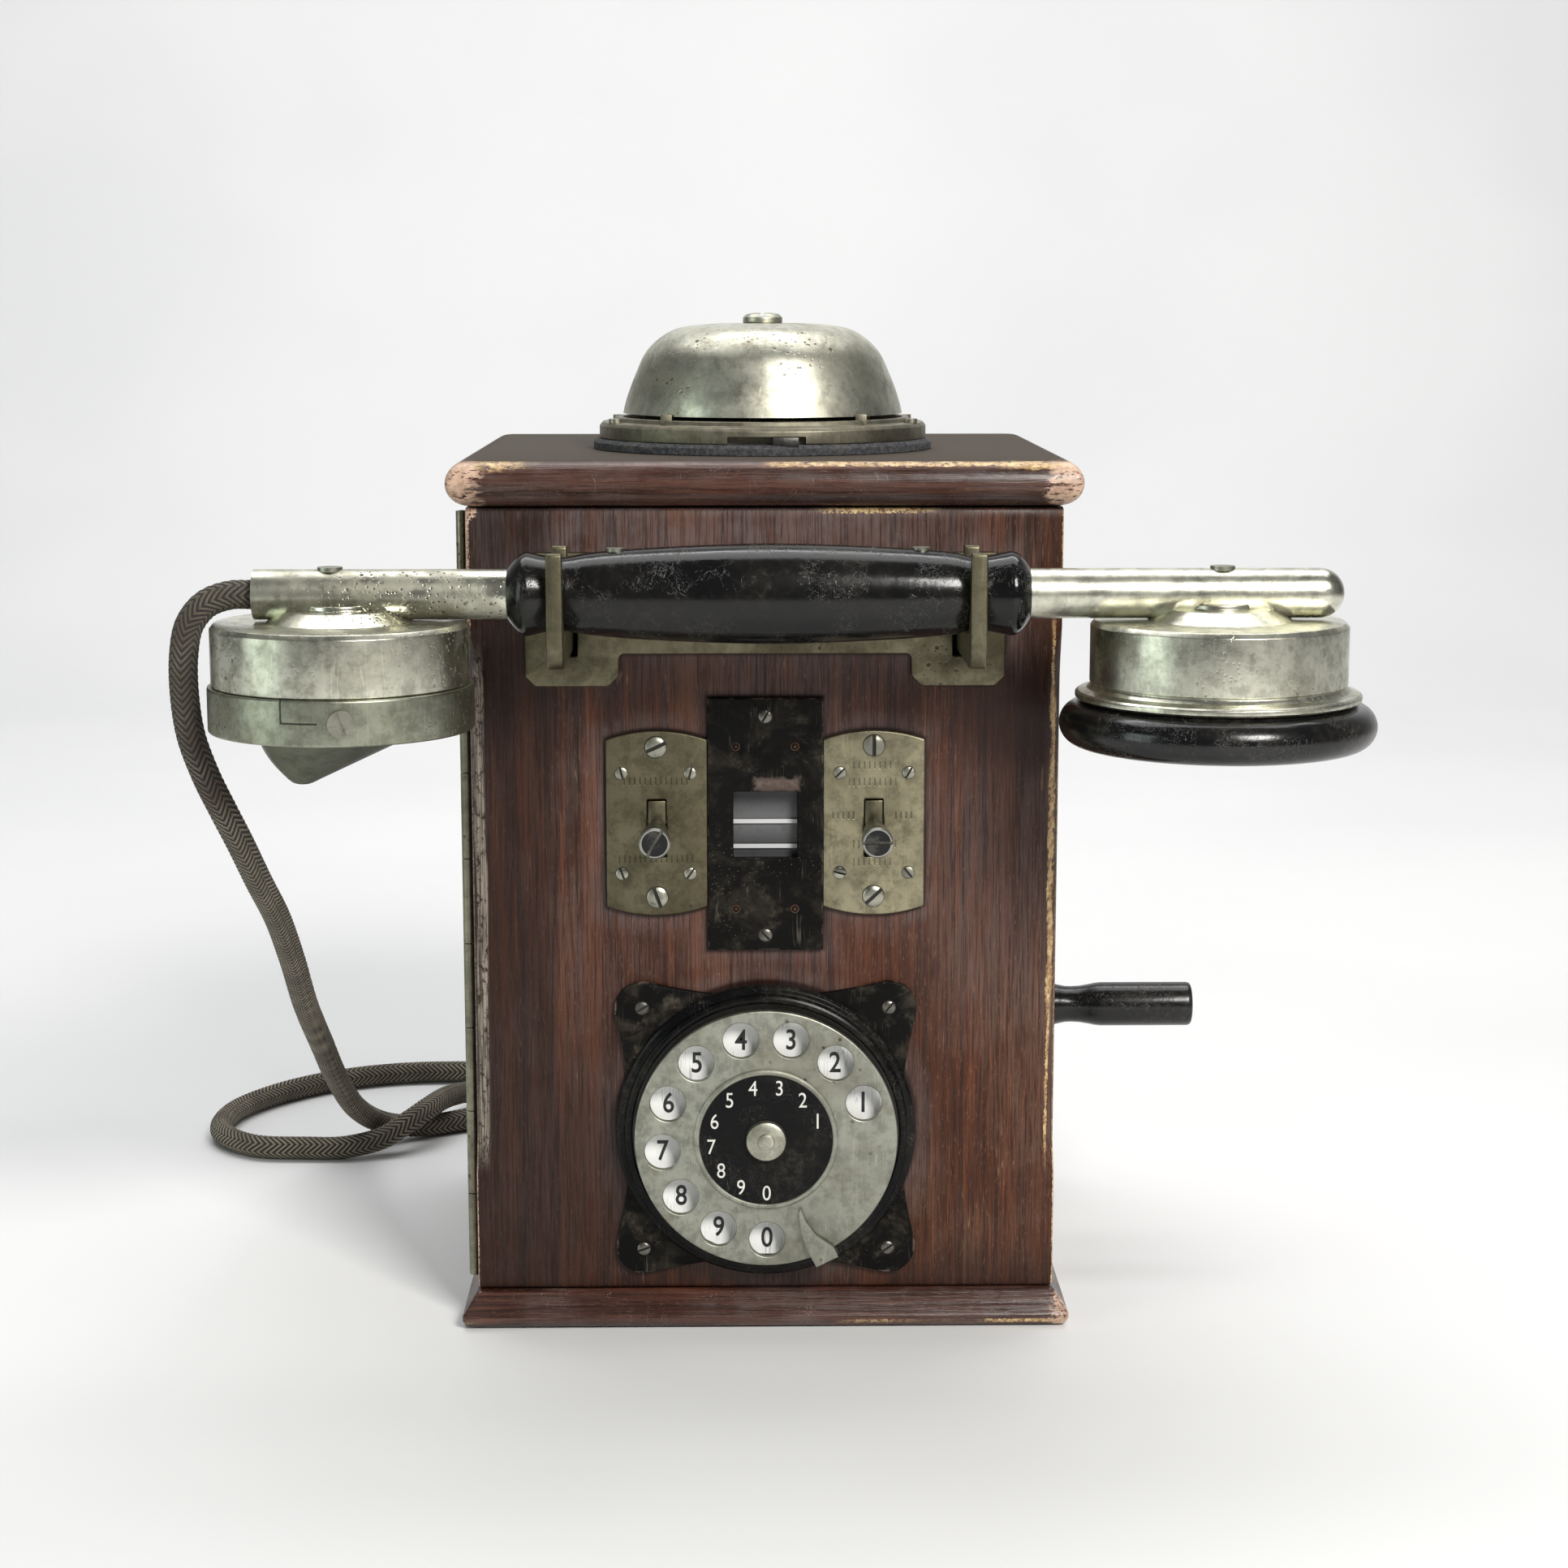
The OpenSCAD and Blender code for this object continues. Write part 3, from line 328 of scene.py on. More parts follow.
def door_wear(p):
    wander = p.times(p.minus(p.noise(16, 2), 0.5), 3.2 * MM)
    right = p.off_line(p.plus(p.x, wander), HALF_W - 2.3)
    right_edge = p.off_line(p.x, HALF_W)
    outer = p.off_line(p.x, -HALF_W)
    top = p.off_line(p.z, ROOF_Z - 0.8)
    upright = p.scaled(1, 1, 0.6)
    worn = p.most(
        p.mul(edge_wear(p, right, 2.7, 170, 0.58, upright), p.between(p.z, 0.085, 0.11, 0.178, 0.195)),
        p.mul(edge_wear(p, right, 1.5, 240, 0.62), p.between(p.z, 0.045, 0.06, 0.2, 0.215)),
        p.mul(edge_wear(p, right_edge, 0.9, 300, 0.4), p.fade(p.noise(20, 2), 0.42, 0.5)),
        p.mul(edge_wear(p, top, 2.6, 200, 0.4), p.between(p.x, 0.012, 0.022, 0.04, 0.052)),
    )
    corner = p.off_circle(-HALF_W, ROOF_Z - 1, 0)
    chipped = p.most(edge_wear(p, outer, 0.9, 300, 0.44), edge_wear(p, corner, 7, 300, 0.42),
                     p.mul(edge_wear(p, outer, 2.2, 340, 0.42), p.fade(p.z, 0.2, 0.21)))
    seam = p.plus(p.plus(p.x, (HALF_W - 2.6) * MM), wander)
    strip = p.mul(p.drop(p.size(seam), 1.2 * MM, 2.1 * MM), p.between(p.z, 0.045, 0.06, 0.19, 0.205))
    frayed = p.mul(strip, p.fade(p.noise(330, 4, 0.7), 0.36, 0.5))
    front = p.drop(p.y, -0.0738, -0.0728)
    return [p.mul(share, front) for share in (worn, chipped, frayed)]


def door_halo(p):
    """Grime and painted shade in the corner between the door and each plate, a grey bloom round it, painted
    sheen over the upper door, a grey wash on the right middle, a painted shadow of the ear cup, a darker left
    edge, lower left and foot, and the warmer lower right.
    """
    near = p.least(p.off_box(0, 214, 68.6, 14), p.off_box(0, 150.5, 16.6, 36.8))
    side = p.size(p.x)
    arcs = p.most(*[p.off_circle(KEY_X, KEY_Z + rise, 42.3, u=side) for rise in (-15.3, 15.3)])
    near = p.least(near, p.most(p.off_box(0, KEY_Z, KEY_X + 14.6, 27), arcs))
    near = p.least(near, p.off_circle(0, DIAL_Z, 43.8))
    ragged = p.fade(p.noise(120, 4, 0.6), 0.25, 0.7, 0.4, 1.0)
    # grime and painted shade where each plate meets the door
    at_plates = p.mul(p.drop(near, 0.0, 1.3 * MM), 0.8)
    bloom_and_sheen = p.mul(p.drop(near, 0.6 * MM, 9.0 * MM), ragged, 0.5)
    # painted sheen over the upper door
    upper = p.mul(p.drop(p.x, 0.02, 0.07), p.fade(p.z, 0.17, 0.225), 0.75, ragged)
    right_side = p.mul(p.fade(p.x, 0.035, 0.06), p.between(p.z, 0.07, 0.12, 0.15, 0.19), 0.3)
    foot = p.mul(p.drop(p.z, 0.011, 0.03), 0.5)
    left_strip = p.mul(p.drop(p.plus(p.x, p.times(p.noise(30, 2), 0.006)), -0.062, -0.054), 0.62)
    low_left = p.mul(p.drop(p.x, -0.052, -0.03), p.drop(p.z, 0.05, 0.12), 0.6)
    # painted shadow of the handset's ear cup on the door
    ear_cup_shadow = p.mul(p.drop(p.off_circle(70, 181, 6), 0.0, 0.02), 0.75)
    grime_and_shade = p.most(at_plates, foot, left_strip, low_left, ear_cup_shadow)
    warm = p.mul(p.fade(p.plus(p.x, p.times(p.noise(25, 3), 0.03)), 0.02, 0.07), p.drop(p.z, 0.12, 0.2), 0.9)
    return grime_and_shade, p.most(bloom_and_sheen, right_side, upper), warm


def roof_wear(p):
    front = p.off_line(p.y, -80.8)
    top = p.fade(p.z, 0.2505, 0.2535)
    grain = p.scaled(0.35, 1, 1)
    line = p.mul(edge_wear(p, front, 2.8, 190, 0.56, grain), top, p.fade(p.noise(19, 2), 0.47, 0.53))
    corner = p.least(*[p.off_circle(x, -83, 0, p.x, p.y) for x in (89, -89)])
    side = p.mul(edge_wear(p, front, 5.0, 200, 0.54, grain), top, p.fade(p.size(p.x), 0.064, 0.075))
    return p.most(line, side), edge_wear(p, corner, 21, 170, 0.52, grain), 0.0


def base_wear(p):
    low = p.off_line(p.z, 2.2)
    line = p.mul(edge_wear(p, low, 1.3, 190, 0.42), p.fade(p.noise(15, 2), 0.5, 0.58))
    return line, edge_wear(p, p.off_circle(90, -84, 0, p.x, p.y), 14, 200, 0.46), 0.0


def engraved(p, rows):
    """Rows of upright engraved ticks: each row is its centre x and z and its half length, in millimetres."""
    tick = p.drop(p.zigzag(p.x, 0.75 * MM), 0.12 * MM, 0.3 * MM)
    return p.most(*[p.mul(tick, p.drop(p.off_box(*row, 1.1), -0.0001, 0.0001)) for row in rows])


def nickel(name, base=(0.64, 0.635, 0.53), rough=(0.26, 0.46), pits=0.5, tarnish=(0.17, 0.15, 0.1),
           metallic=1.0, stains=0.75, rows=(), line=None):
    """Old nickel plate: cloudy tarnish, scratches, clusters of pits, and rows of ticks or a groove; the
    groove's dark line is painted shade.
    """
    p = Paint(name)
    cloud = p.noise(42, 6, 0.66, distort=0.6)
    spread = p.noise(17, 3, 0.6)
    mottle = p.noise(210, 5, 0.72)
    dots = p.drop(p.cells(640), 0.1, 0.3)
    big_dots = p.drop(p.cells(260), 0.06, 0.22)
    where = p.fade(spread, 1.0 - pits * 0.9, 1.16 - pits * 0.9)
    pitted = p.most(p.mul(dots, where), p.mul(big_dots, p.fade(spread, 0.55, 0.63)))
    stain = p.fade(p.times(cloud, spread), 0.22, 0.4)
    hair = p.scratches(6, (0, 25, 20), 0.01, 0.4)
    p.color = p.mix(p.mul(stain, stains), base, tarnish)
    p.coat(p.fade(mottle, 0.42, 0.64, 0.0, 0.6), shade(base, 0.42))
    p.coat(p.mul(p.fade(p.noise(120, 5, 0.72), 0.5, 0.68), 0.5), tarnish)
    p.coat(p.fade(p.noise(9, 3), 0.35, 0.7, 0.0, 0.35), shade(base, 0.6))
    p.coat(p.mul(hair, 0.3), tuple(min(1.0, 1.35 * c) for c in base))
    p.coat(p.mul(pitted, 0.92), (0.045, 0.028, 0.015))
    cuts = pitted
    if rows:
        ticks = engraved(p, rows)
        p.coat(p.mul(ticks, 0.6), shade(base, 0.25))
        cuts = p.most(cuts, ticks)
    if line:
        # painted shade of a groove that is not cut
        groove = line(p)
        p.coat(p.mul(groove, 0.85), (0.03, 0.025, 0.018))
        cuts = p.most(cuts, groove)
    roughness = p.most(p.fade(cloud, 0.3, 0.72, *rough), p.mul(pitted, 0.75), p.mul(stain, 0.55))
    shine = p.minus(metallic, p.mul(pitted, 0.6))
    height = p.minus(p.times(mottle, 0.3), cuts)
    return p.finish(roughness, shine, p.bump(height, 0.00018, 0.6))


def bayonet_slot_shade(p):
    """Painted shade of the L-shaped slot in the microphone's ring, drawn as a dark line."""
    front = p.drop(p.y, HANDSET_Y * MM - 0.001, HANDSET_Y * MM)
    slots = ((MIC_X - 11.5, 193.5, 0.22, 3.2), (MIC_X - 6.7, 190.3, 5.0, 0.22))
    return p.mul(front, p.most(*[p.drop(p.off_box(*slot), -0.0001, 0.00015) for slot in slots]))


def shutter_paint(name):
    """Dull grey flag with two white bars, each on its own rib, with painted shading that runs dark to light
    between the bars.
    """
    p = Paint(name)
    cloud = p.noise(160, 4, 0.7)
    # painted shading: darkest at the lower bar, lightest at the upper bar, dark again above
    shade = p.zigzag(p.minus(p.z, 143.5 * MM), 7.3 * MM)
    p.color = p.mix(p.fade(shade, 0.0, 7.3 * MM), (0.04, 0.041, 0.043), (0.115, 0.117, 0.12))
    p.coat(p.fade(cloud, 0.5, 0.7, 0.0, 0.5), (0.03, 0.03, 0.032))
    bars = p.drop(p.y, -75.5 * MM, -75.2 * MM)
    p.coat(bars, (0.55, 0.55, 0.56))
    return p.finish(p.fade(cloud, 0.3, 0.7, 0.3, 0.5), 0.0, p.bump(cloud, 0.0002, 0.4))


def black_enamel(name, dust=0.5, edge=None):
    """Black paint gone brown and grey with dust, with bare metal at its edges."""
    p = Paint(name)
    cloud = p.noise(75, 5, 0.68, distort=0.5)
    smudge = p.noise(190, 5, 0.75)
    specks = p.drop(p.cells(900), 0.08, 0.24)
    p.color = p.mix(p.fade(cloud, 0.46, 0.7, 0.0, dust), (0.0032, 0.003, 0.0028), (0.05, 0.041, 0.03))
    dusty = p.mul(p.fade(smudge, 0.52, 0.68), p.fade(cloud, 0.42, 0.6), dust)
    p.coat(dusty, (0.075, 0.064, 0.048))
    p.coat(p.mul(specks, p.fade(p.noise(30, 3), 0.55, 0.66), 0.6), (0.12, 0.1, 0.075))
    nicks = p.most(p.scratches(6, (0, 20, 0), 0.005, 0.54), p.scratches(5, (0, -60, 0), 0.005, 0.56))
    p.coat(p.mul(nicks, 0.35), (0.18, 0.16, 0.13))
    metal = 0.0
    if edge:
        bare = edge(p)
        under = p.mix(p.fade(smudge, 0.4, 0.65), (0.11, 0.08, 0.068), (0.21, 0.16, 0.14))
        p.coat(bare, under)
        metal = p.mul(bare, 0.3)
    rough = p.fade(cloud, 0.3, 0.75, 0.36, 0.68)
    return p.finish(rough, metal, p.bump(cloud, 0.0003, 0.5), Specular_IOR_Level=0.1)


def indicator_edges(p):
    rim = p.size(p.off_box(0, 150.45, 16.65, 36.85))
    ragged = p.fade(p.noise(260, 4, 0.7), 0.5, 0.58)
    spot = p.plus(p.off_box(3.3, 162.4, 6.4, 1.6), p.times(p.noise(190, 5, 0.75), 0.0075))
    patch = p.drop(spot, 0.0028, 0.0048)
    near = p.mul(p.drop(rim, 0.0001, 0.0006), ragged)
    return p.most(p.mul(near, 0.5), p.mul(patch, 0.8))


def dial_base_edges(p):
    rim = p.size(p.off_box(0, DIAL_Z, 44, 44))
    return p.mul(p.drop(rim, 0.0001, 0.0009), p.fade(p.noise(240, 4, 0.7), 0.48, 0.56))


def gloss_black(name, rough=(0.1, 0.26), dull=0.25, specular=0.45):
    """Polished ebonite with hairline scratches and dull, dusty patches."""
    p = Paint(name)
    cloud = p.noise(30, 5, 0.6)
    hair = p.most(p.scratches(9, (0, 0, 62), 0.008, 0.44, "XY"),
                  p.scratches(8, (0, 12, 80), 0.006, 0.48, "XY"),
                  p.scratches(8, (20, -25, 30), 0.006, 0.5))
    dust = p.mul(p.fade(p.noise(420, 5, 0.75), 0.42, 0.7), p.fade(cloud, 0.42, 0.7))
    p.color = p.mix(p.fade(cloud, 0.4, 0.75, 0.0, 0.5), (0.0035, 0.0036, 0.004), (0.014, 0.012, 0.009))
    p.coat(p.mul(hair, 0.35), (0.13, 0.125, 0.11))
    p.coat(p.mul(dust, dull), (0.14, 0.125, 0.1))
    roughness = p.most(p.fade(cloud, 0.3, 0.75, *rough), p.mul(p.most(hair, dust), 0.5))
    relief = p.bump(p.minus(p.noise(500, 2), hair), 0.0001, 0.35)
    return p.finish(roughness, 0.0, relief, Specular_IOR_Level=specular)


def gasket_felt(name):
    p = Paint(name)
    grit = p.noise(700, 4, 0.7)
    p.color = p.mix(p.fade(grit, 0.35, 0.7), (0.022, 0.024, 0.03), (0.085, 0.083, 0.085))
    p.coat(p.fade(p.noise(60, 3), 0.5, 0.7, 0, 0.5), (0.11, 0.1, 0.09))
    return p.finish(0.82, 0.0, p.bump(grit, 0.0006, 0.9))


def white_enamel(name):
    p = Paint(name)
    cloud = p.noise(70, 4, 0.6)
    p.color = p.mix(p.fade(cloud, 0.4, 0.7, 0, 0.4), (0.95, 0.95, 0.94), (0.8, 0.79, 0.76))
    marks = p.most(p.scratches(10, (0, 40, 0), 0.014, 0.42), p.scratches(9, (0, -50, 0), 0.012, 0.44))
    p.coat(p.mul(marks, 0.55), (0.3, 0.29, 0.26))
    # painted shade: the number plate goes near black outside 36.2 mm, under the finger wheel's edge and the
    # ring
    p.coat(p.fade(p.off_circle(0, DIAL_Z, 36.2), 0.0, 0.3 * MM), (0.008, 0.007, 0.006))
    return p.finish(p.fade(cloud, 0.3, 0.7, 0.22, 0.45), 0.0, p.bump(p.noise(300, 2), 0.0001, 0.4))


def plain_metal(name, base, rough=(0.3, 0.5), metallic=1.0):
    """Bare metal out of the weather: brushed, a little cloudy."""
    p = Paint(name)
    cloud = p.noise(80, 4, 0.6)
    p.color = p.mix(p.fade(cloud, 0.35, 0.7), base, shade(base, 0.55))
    dirt = p.fade(p.noise(260, 4, 0.7), 0.56, 0.68)
    p.coat(p.mul(dirt, 0.6), shade(base, 0.2))
    return p.finish(p.fade(cloud, 0.3, 0.7, *rough), metallic, p.bump(p.noise(600, 3), 0.0002, 0.5))


def key_metal(name):
    """A browned steel lever with a black face and a painted highlight round the face's rim."""
    p = Paint(name)
    cloud = p.noise(160, 4, 0.7)
    off = p.off_circle(KEY_X, LEVER_Z, 3.55, u=p.size(p.x))
    face = p.drop(p.y, KNOB_Y + 0.55 * MM, KNOB_Y + 0.7 * MM)
    rim = p.mul(face, p.fade(off, 0.0, 0.25 * MM))
    p.color = p.mix(p.fade(cloud, 0.4, 0.66), (0.2, 0.195, 0.17), (0.1, 0.095, 0.08))
    black = p.mix(p.fade(cloud, 0.5, 0.66), (0.035, 0.036, 0.036), (0.09, 0.088, 0.08))
    p.coat(face, black)
    # painted highlight: a bright ring at the rim of the knob's face
    p.coat(p.mul(rim, 0.85), (0.5, 0.5, 0.46))
    return p.finish(p.fade(cloud, 0.3, 0.7, 0.28, 0.46), 1.0, p.bump(cloud, 0.0002, 0.4))


def winding(name, base):
    """Layers of fine lacquered wire round a coil."""
    p = Paint(name)
    turns = p.add("ShaderNodeTexWave", bands_direction="Z")
    p.links.new(p.pos, turns.inputs["Vector"])
    turns.inputs["Scale"].default_value = 420
    turns.inputs["Distortion"].default_value = 1.0
    p.color = p.mix(turns.outputs["Fac"], shade(base, 0.35), base)
    return p.finish(0.35, 0.2, p.bump(turns.outputs["Fac"], 0.0003, 0.8))


def moulded(name, base):
    p = Paint(name)
    cloud = p.noise(120, 5, 0.7)
    p.color = p.mix(p.fade(cloud, 0.35, 0.7), base, shade(base, 0.45))
    return p.finish(p.fade(cloud, 0.3, 0.7, 0.35, 0.6), 0.0, p.bump(cloud, 0.0003, 0.5))


def braid(name):
    """Herringbone cotton braid; the UV map runs in millimetres round and along the cord."""
    p = Paint(name)
    uv = p.add("ShaderNodeUVMap", uv_map="cord")
    split = p.add("ShaderNodeSeparateXYZ")
    p.links.new(uv.outputs[0], split.inputs[0])
    around, along = split.outputs[0], split.outputs[1]
    rows = p.plus(along, p.times(p.zigzag(around, ZIG), ZIG_SLOPE))
    wave = p.zigzag(p.math("DIVIDE", rows, YARN), 0.5)
    yarn = p.fade(wave, 0.16, 0.36)
    seam = p.fade(p.zigzag(around, ZIG / 2), 0.0, 0.16)
    weave = p.mul(yarn, p.plus(0.55, p.times(seam, 0.45)))
    fibre = p.noise(14, 3, 0.7, p.scaled(3.0, 0.5, 1.0, turn=(0, 0, 45), vector=uv.outputs[0]))
    tone = p.noise(0.07, 3, 0.6, uv.outputs[0])
    bright = p.mix(p.fade(tone, 0.35, 0.65), (0.27, 0.22, 0.145), (0.46, 0.39, 0.27))
    rust = p.mul(p.fade(p.z, 0.14, 0.17), p.fade(p.noise(60, 3), 0.45, 0.62))
    bright = p.mix(p.mul(rust, 0.7), bright, (0.19, 0.085, 0.035))
    bright = p.mix(p.mul(p.fade(p.z, 0.13, 0.19), 0.62), bright, (0.07, 0.055, 0.042))
    p.color = p.mix(weave, (0.014, 0.011, 0.009), bright)
    p.coat(p.fade(fibre, 0.4, 0.7, 0, 0.45), (0.1, 0.085, 0.07))
    height = p.plus(weave, p.times(fibre, 0.35))
    return p.finish(0.86, 0.0, p.bump(height, 0.0007, 1.0), Sheen_Weight=0.12, Sheen_Roughness=0.5)


def fill_paint(name, base, rough=0.45):
    p = Paint(name)
    p.color = p.mix(p.fade(p.noise(600, 3, 0.7), 0.4, 0.75), base, tuple(0.7 * c + 0.02 for c in base))
    return p.finish(rough, 0.0, p.bump(p.noise(900, 2), 0.00005, 0.4))


MAT = {
    "door_wood": wood("door_wood", "Z", wear=door_wear, halo=door_halo),
    "side_wood": wood("side_wood", "Z"),
    "roof_wood": wood("roof_wood", "X", base=(0.1, 0.038, 0.024), dark=(0.024, 0.0085, 0.006),
                      wear=roof_wear, gloss=(0.18, 0.4), specular=0.5, dusty_from=254.2),
    "base_wood": wood("base_wood", "X", base=(0.11, 0.042, 0.028), wear=base_wear, sheen_share=0.8,
                      gloss=(0.16, 0.4), specular=0.6),
    "nickel": nickel("nickel_plate", rough=(0.32, 0.5)),
    "ring_nickel": nickel("ring_nickel", base=(0.37, 0.38, 0.3), rough=(0.32, 0.5), pits=0.55,
                          line=bayonet_slot_shade),
    "nickel_handset": nickel("nickel_handset", base=(0.72, 0.715, 0.6), rough=(0.23, 0.4), pits=0.55,
                             stains=0.6),
    "wheel_nickel": nickel("wheel_nickel", base=(0.43, 0.435, 0.37), rough=(0.42, 0.6), pits=0.35,
                           stains=0.45),
    "dull_nickel": nickel("dull_nickel", base=(0.27, 0.25, 0.19), rough=(0.4, 0.6), pits=0.55),
    "horn_metal": nickel("horn_metal", base=(0.11, 0.118, 0.08), rough=(0.38, 0.55), pits=0.5, metallic=0.9),
    "silver_plate": nickel("silver_plate", base=(0.185, 0.168, 0.11), rough=(0.34, 0.55), pits=0.5,
                           tarnish=(0.085, 0.07, 0.04)),
    # The key plates are twins: the left plate's darker base is painted shade and the right plate's lighter base
    # is painted light, over their own tarnish.
    "key_plate_left": nickel("key_plate_left", base=(0.165, 0.148, 0.095), rough=(0.38, 0.58), pits=0.45,
                             tarnish=(0.08, 0.066, 0.036), rows=[(-31.3, 163.3, 9.8), (-31.3, 140.6, 11.2)]),
    "key_plate_right": nickel("key_plate_right", base=(0.37, 0.335, 0.225), rough=(0.36, 0.55), pits=0.5,
                              tarnish=(0.085, 0.07, 0.04), rows=[(31.2, 167.8, 6.2), (31.2, 162.9, 7.2),
                                                                 (22.4, 153.2, 4.0), (40.0, 153.2, 3.2),
                                                                 (31.2, 144.9, 6.6), (31.2, 139.6, 5.8)]),
    "hinge_metal": nickel("hinge_metal", base=(0.27, 0.255, 0.19), rough=(0.3, 0.5), pits=0.5),
    "ebonite": gloss_black("ebonite", (0.1, 0.24), 0.09, 0.34),
    "ebonite_worn": gloss_black("ebonite_worn", (0.14, 0.3), 0.35),
    "indicator_enamel": black_enamel("indicator_enamel", 0.4, indicator_edges),
    "dial_base_enamel": black_enamel("dial_base_enamel", 0.8, dial_base_edges),
    "ring_enamel": gloss_black("ring_enamel", (0.14, 0.3), 0.2, 0.14),
    "label_black": gloss_black("label_black", (0.35, 0.5), 0.3, 0.15),
    "shutter": shutter_paint("shutter"),
    "gasket": gasket_felt("gasket"),
    "enamel": white_enamel("enamel"),
    "key_lever": key_metal("key_lever"),
    "pin_brown": plain_metal("pin_brown", (0.07, 0.04, 0.026), (0.22, 0.36), 0.6),
    "steel": plain_metal("steel", (0.42, 0.4, 0.33), (0.34, 0.55)),
    "screw_nickel": plain_metal("screw_nickel", (0.42, 0.41, 0.34), (0.3, 0.5)),
    # painted shade: near black for the screw slots' floors and the ring round each head
    "screw_slot_shade": moulded("screw_slot_shade", (0.022, 0.018, 0.013)),
    "screw_dark": plain_metal("screw_dark", (0.2, 0.19, 0.165), (0.3, 0.5)),
    "dark_steel": plain_metal("dark_steel", (0.11, 0.105, 0.1), (0.36, 0.55)),
    "brass": plain_metal("brass", (0.62, 0.44, 0.17)),
    "coil": winding("coil", (0.42, 0.1, 0.05)),
    "magnet": moulded("magnet", (0.3, 0.045, 0.035)),
    "phenolic": moulded("phenolic", (0.12, 0.05, 0.022)),
    "cord": braid("cord_braid"),
    "digit_black": fill_paint("digit_black", (0.012, 0.012, 0.014)),
    "digit_white": fill_paint("digit_white", (0.72, 0.71, 0.66)),
}


# ---------- geometry ----------
def fillet(points, radius, steps=4, closed=True):
    """Rounds the corners of an outline; a corner near short edges gets a smaller arc."""
    out = []
    count = len(points)
    for i, point in enumerate(points):
        if not closed and i in (0, count - 1):
            out.append(tuple(point))
            continue
        here = Vector(point)
        before = Vector(points[i - 1]) - here
        after = Vector(points[(i + 1) % count]) - here
        turn = before.angle(after, math.pi)
        if turn > math.radians(168):
            out.append(tuple(point))
            continue
        cut = min(radius / math.tan(turn / 2), 0.45 * before.length, 0.45 * after.length)
        start = here + before.normalized() * cut
        end = here + after.normalized() * cut
        for k in range(steps + 1):
            t = k / steps
            out.append(tuple((1 - t) ** 2 * start + 2 * t * (1 - t) * here + t * t * end))
    return out


def smooth_line(points, per_span):
    """A centripetal Catmull-Rom curve through the points."""
    pts = [Vector(p) for p in points]
    pts = [2 * pts[0] - pts[1], *pts, 2 * pts[-1] - pts[-2]]
    out = []
    for i in range(1, len(pts) - 2):
        p0, p1, p2, p3 = pts[i - 1 : i + 3]
        t1 = (p1 - p0).length ** 0.5
        t2 = t1 + (p2 - p1).length ** 0.5
        t3 = t2 + (p3 - p2).length ** 0.5
        for k in range(per_span):
            t = t1 + (t2 - t1) * k / per_span
            a1 = p0.lerp(p1, t / t1)
            a2 = p1.lerp(p2, (t - t1) / (t2 - t1))
            a3 = p2.lerp(p3, (t - t2) / (t3 - t2))
            b1 = a1.lerp(a2, t / t2)
            b2 = a2.lerp(a3, (t - t1) / (t3 - t1))
            out.append(b1.lerp(b2, (t - t1) / (t2 - t1)))
    out.append(pts[-2])
    return out


def piece(name, bm, material, body, replaced=(), sharp=35):
    """Turns a bmesh in millimetres into an object that rides on a body."""
    bmesh.ops.scale(bm, vec=(MM, MM, MM), verts=bm.verts)
    bmesh.ops.recalc_face_normals(bm, faces=bm.faces)
    mesh = bpy.data.meshes.new(name)
    bm.to_mesh(mesh)
    bm.free()
    return keep(name, mesh, material, body, replaced, sharp)


def keep(name, mesh, material, body, replaced=(), sharp=35):
    mesh.shade_smooth()
    mesh.set_sharp_from_angle(angle=math.radians(sharp))
    mesh.materials.clear()
    mesh.materials.append(MAT[material])
    obj = bpy.data.objects.new(name, mesh)
    bpy.context.scene.collection.objects.link(obj)
    if body:
        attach(obj, body)
    if replaced:
        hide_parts(*replaced)
    return obj


def skin(bm, rings, caps=(True, True)):
    """Joins rings of points, in order, with faces."""
    rows = [[bm.verts.new(p) for p in ring] for ring in rings]
    size = len(rows[0])
    for low, high in zip(rows, rows[1:]):
        for k in range(size):
            bm.faces.new((low[k], low[(k + 1) % size], high[(k + 1) % size], high[k]))
    for cap, row in zip(caps, (rows[0], rows[-1])):
        if cap:
            bm.faces.new(row)
    return rows


def turned(axis, origin, radius, along, angle):
    """A point of a turned part: radius from its axis, along it, and round it."""
    a, b = radius * math.cos(angle), radius * math.sin(angle)
    offset = {"Z": (a, b, along), "Y": (a, -along, b), "X": (along, a, b)}[axis]
    return Vector(origin) + Vector(offset)


def lathe(profile, origin, axis="Z", steps=128, bm=None):
    """Turns a profile of (radius, along) points; a radius of zero becomes a pole."""
    bm = bm or bmesh.new()
    previous = None
    for radius, along in profile:
        if radius < 1e-6:
            row = [bm.verts.new(turned(axis, origin, 0, along, 0))]
        else:
            row = [bm.verts.new(turned(axis, origin, radius, along, TAU * k / steps)) for k in range(steps)]
        if previous:
            for k in range(steps):
                a, b = previous[k % len(previous)], previous[(k + 1) % len(previous)]
                c, d = row[(k + 1) % len(row)], row[k % len(row)]
                corners = [v for n, v in enumerate((a, b, c, d)) if v not in (a, b, c, d)[:n]]
                if len(corners) > 2:
                    bm.faces.new(corners)
        previous = row
    return bm


def ring_lathe(profile, origin, axis="Z", steps=128, bm=None):
    """Turns a closed profile, for a ring with a hole."""
    bm = lathe([*profile, profile[0]], origin, axis, steps, bm)
    bmesh.ops.remove_doubles(bm, verts=bm.verts, dist=1e-5)
    return bm


def inset(loop, distance):
    """Moves each point of a loop to its left by a distance."""
    out = []
    for i, point in enumerate(loop):
        a = Vector(point) - Vector(loop[i - 1])
        b = Vector(loop[(i + 1) % len(loop)]) - Vector(point)
        direction = (a.normalized() + b.normalized()).normalized()
        out.append((point[0] - direction.y * distance, point[1] + direction.x * distance))
    return out


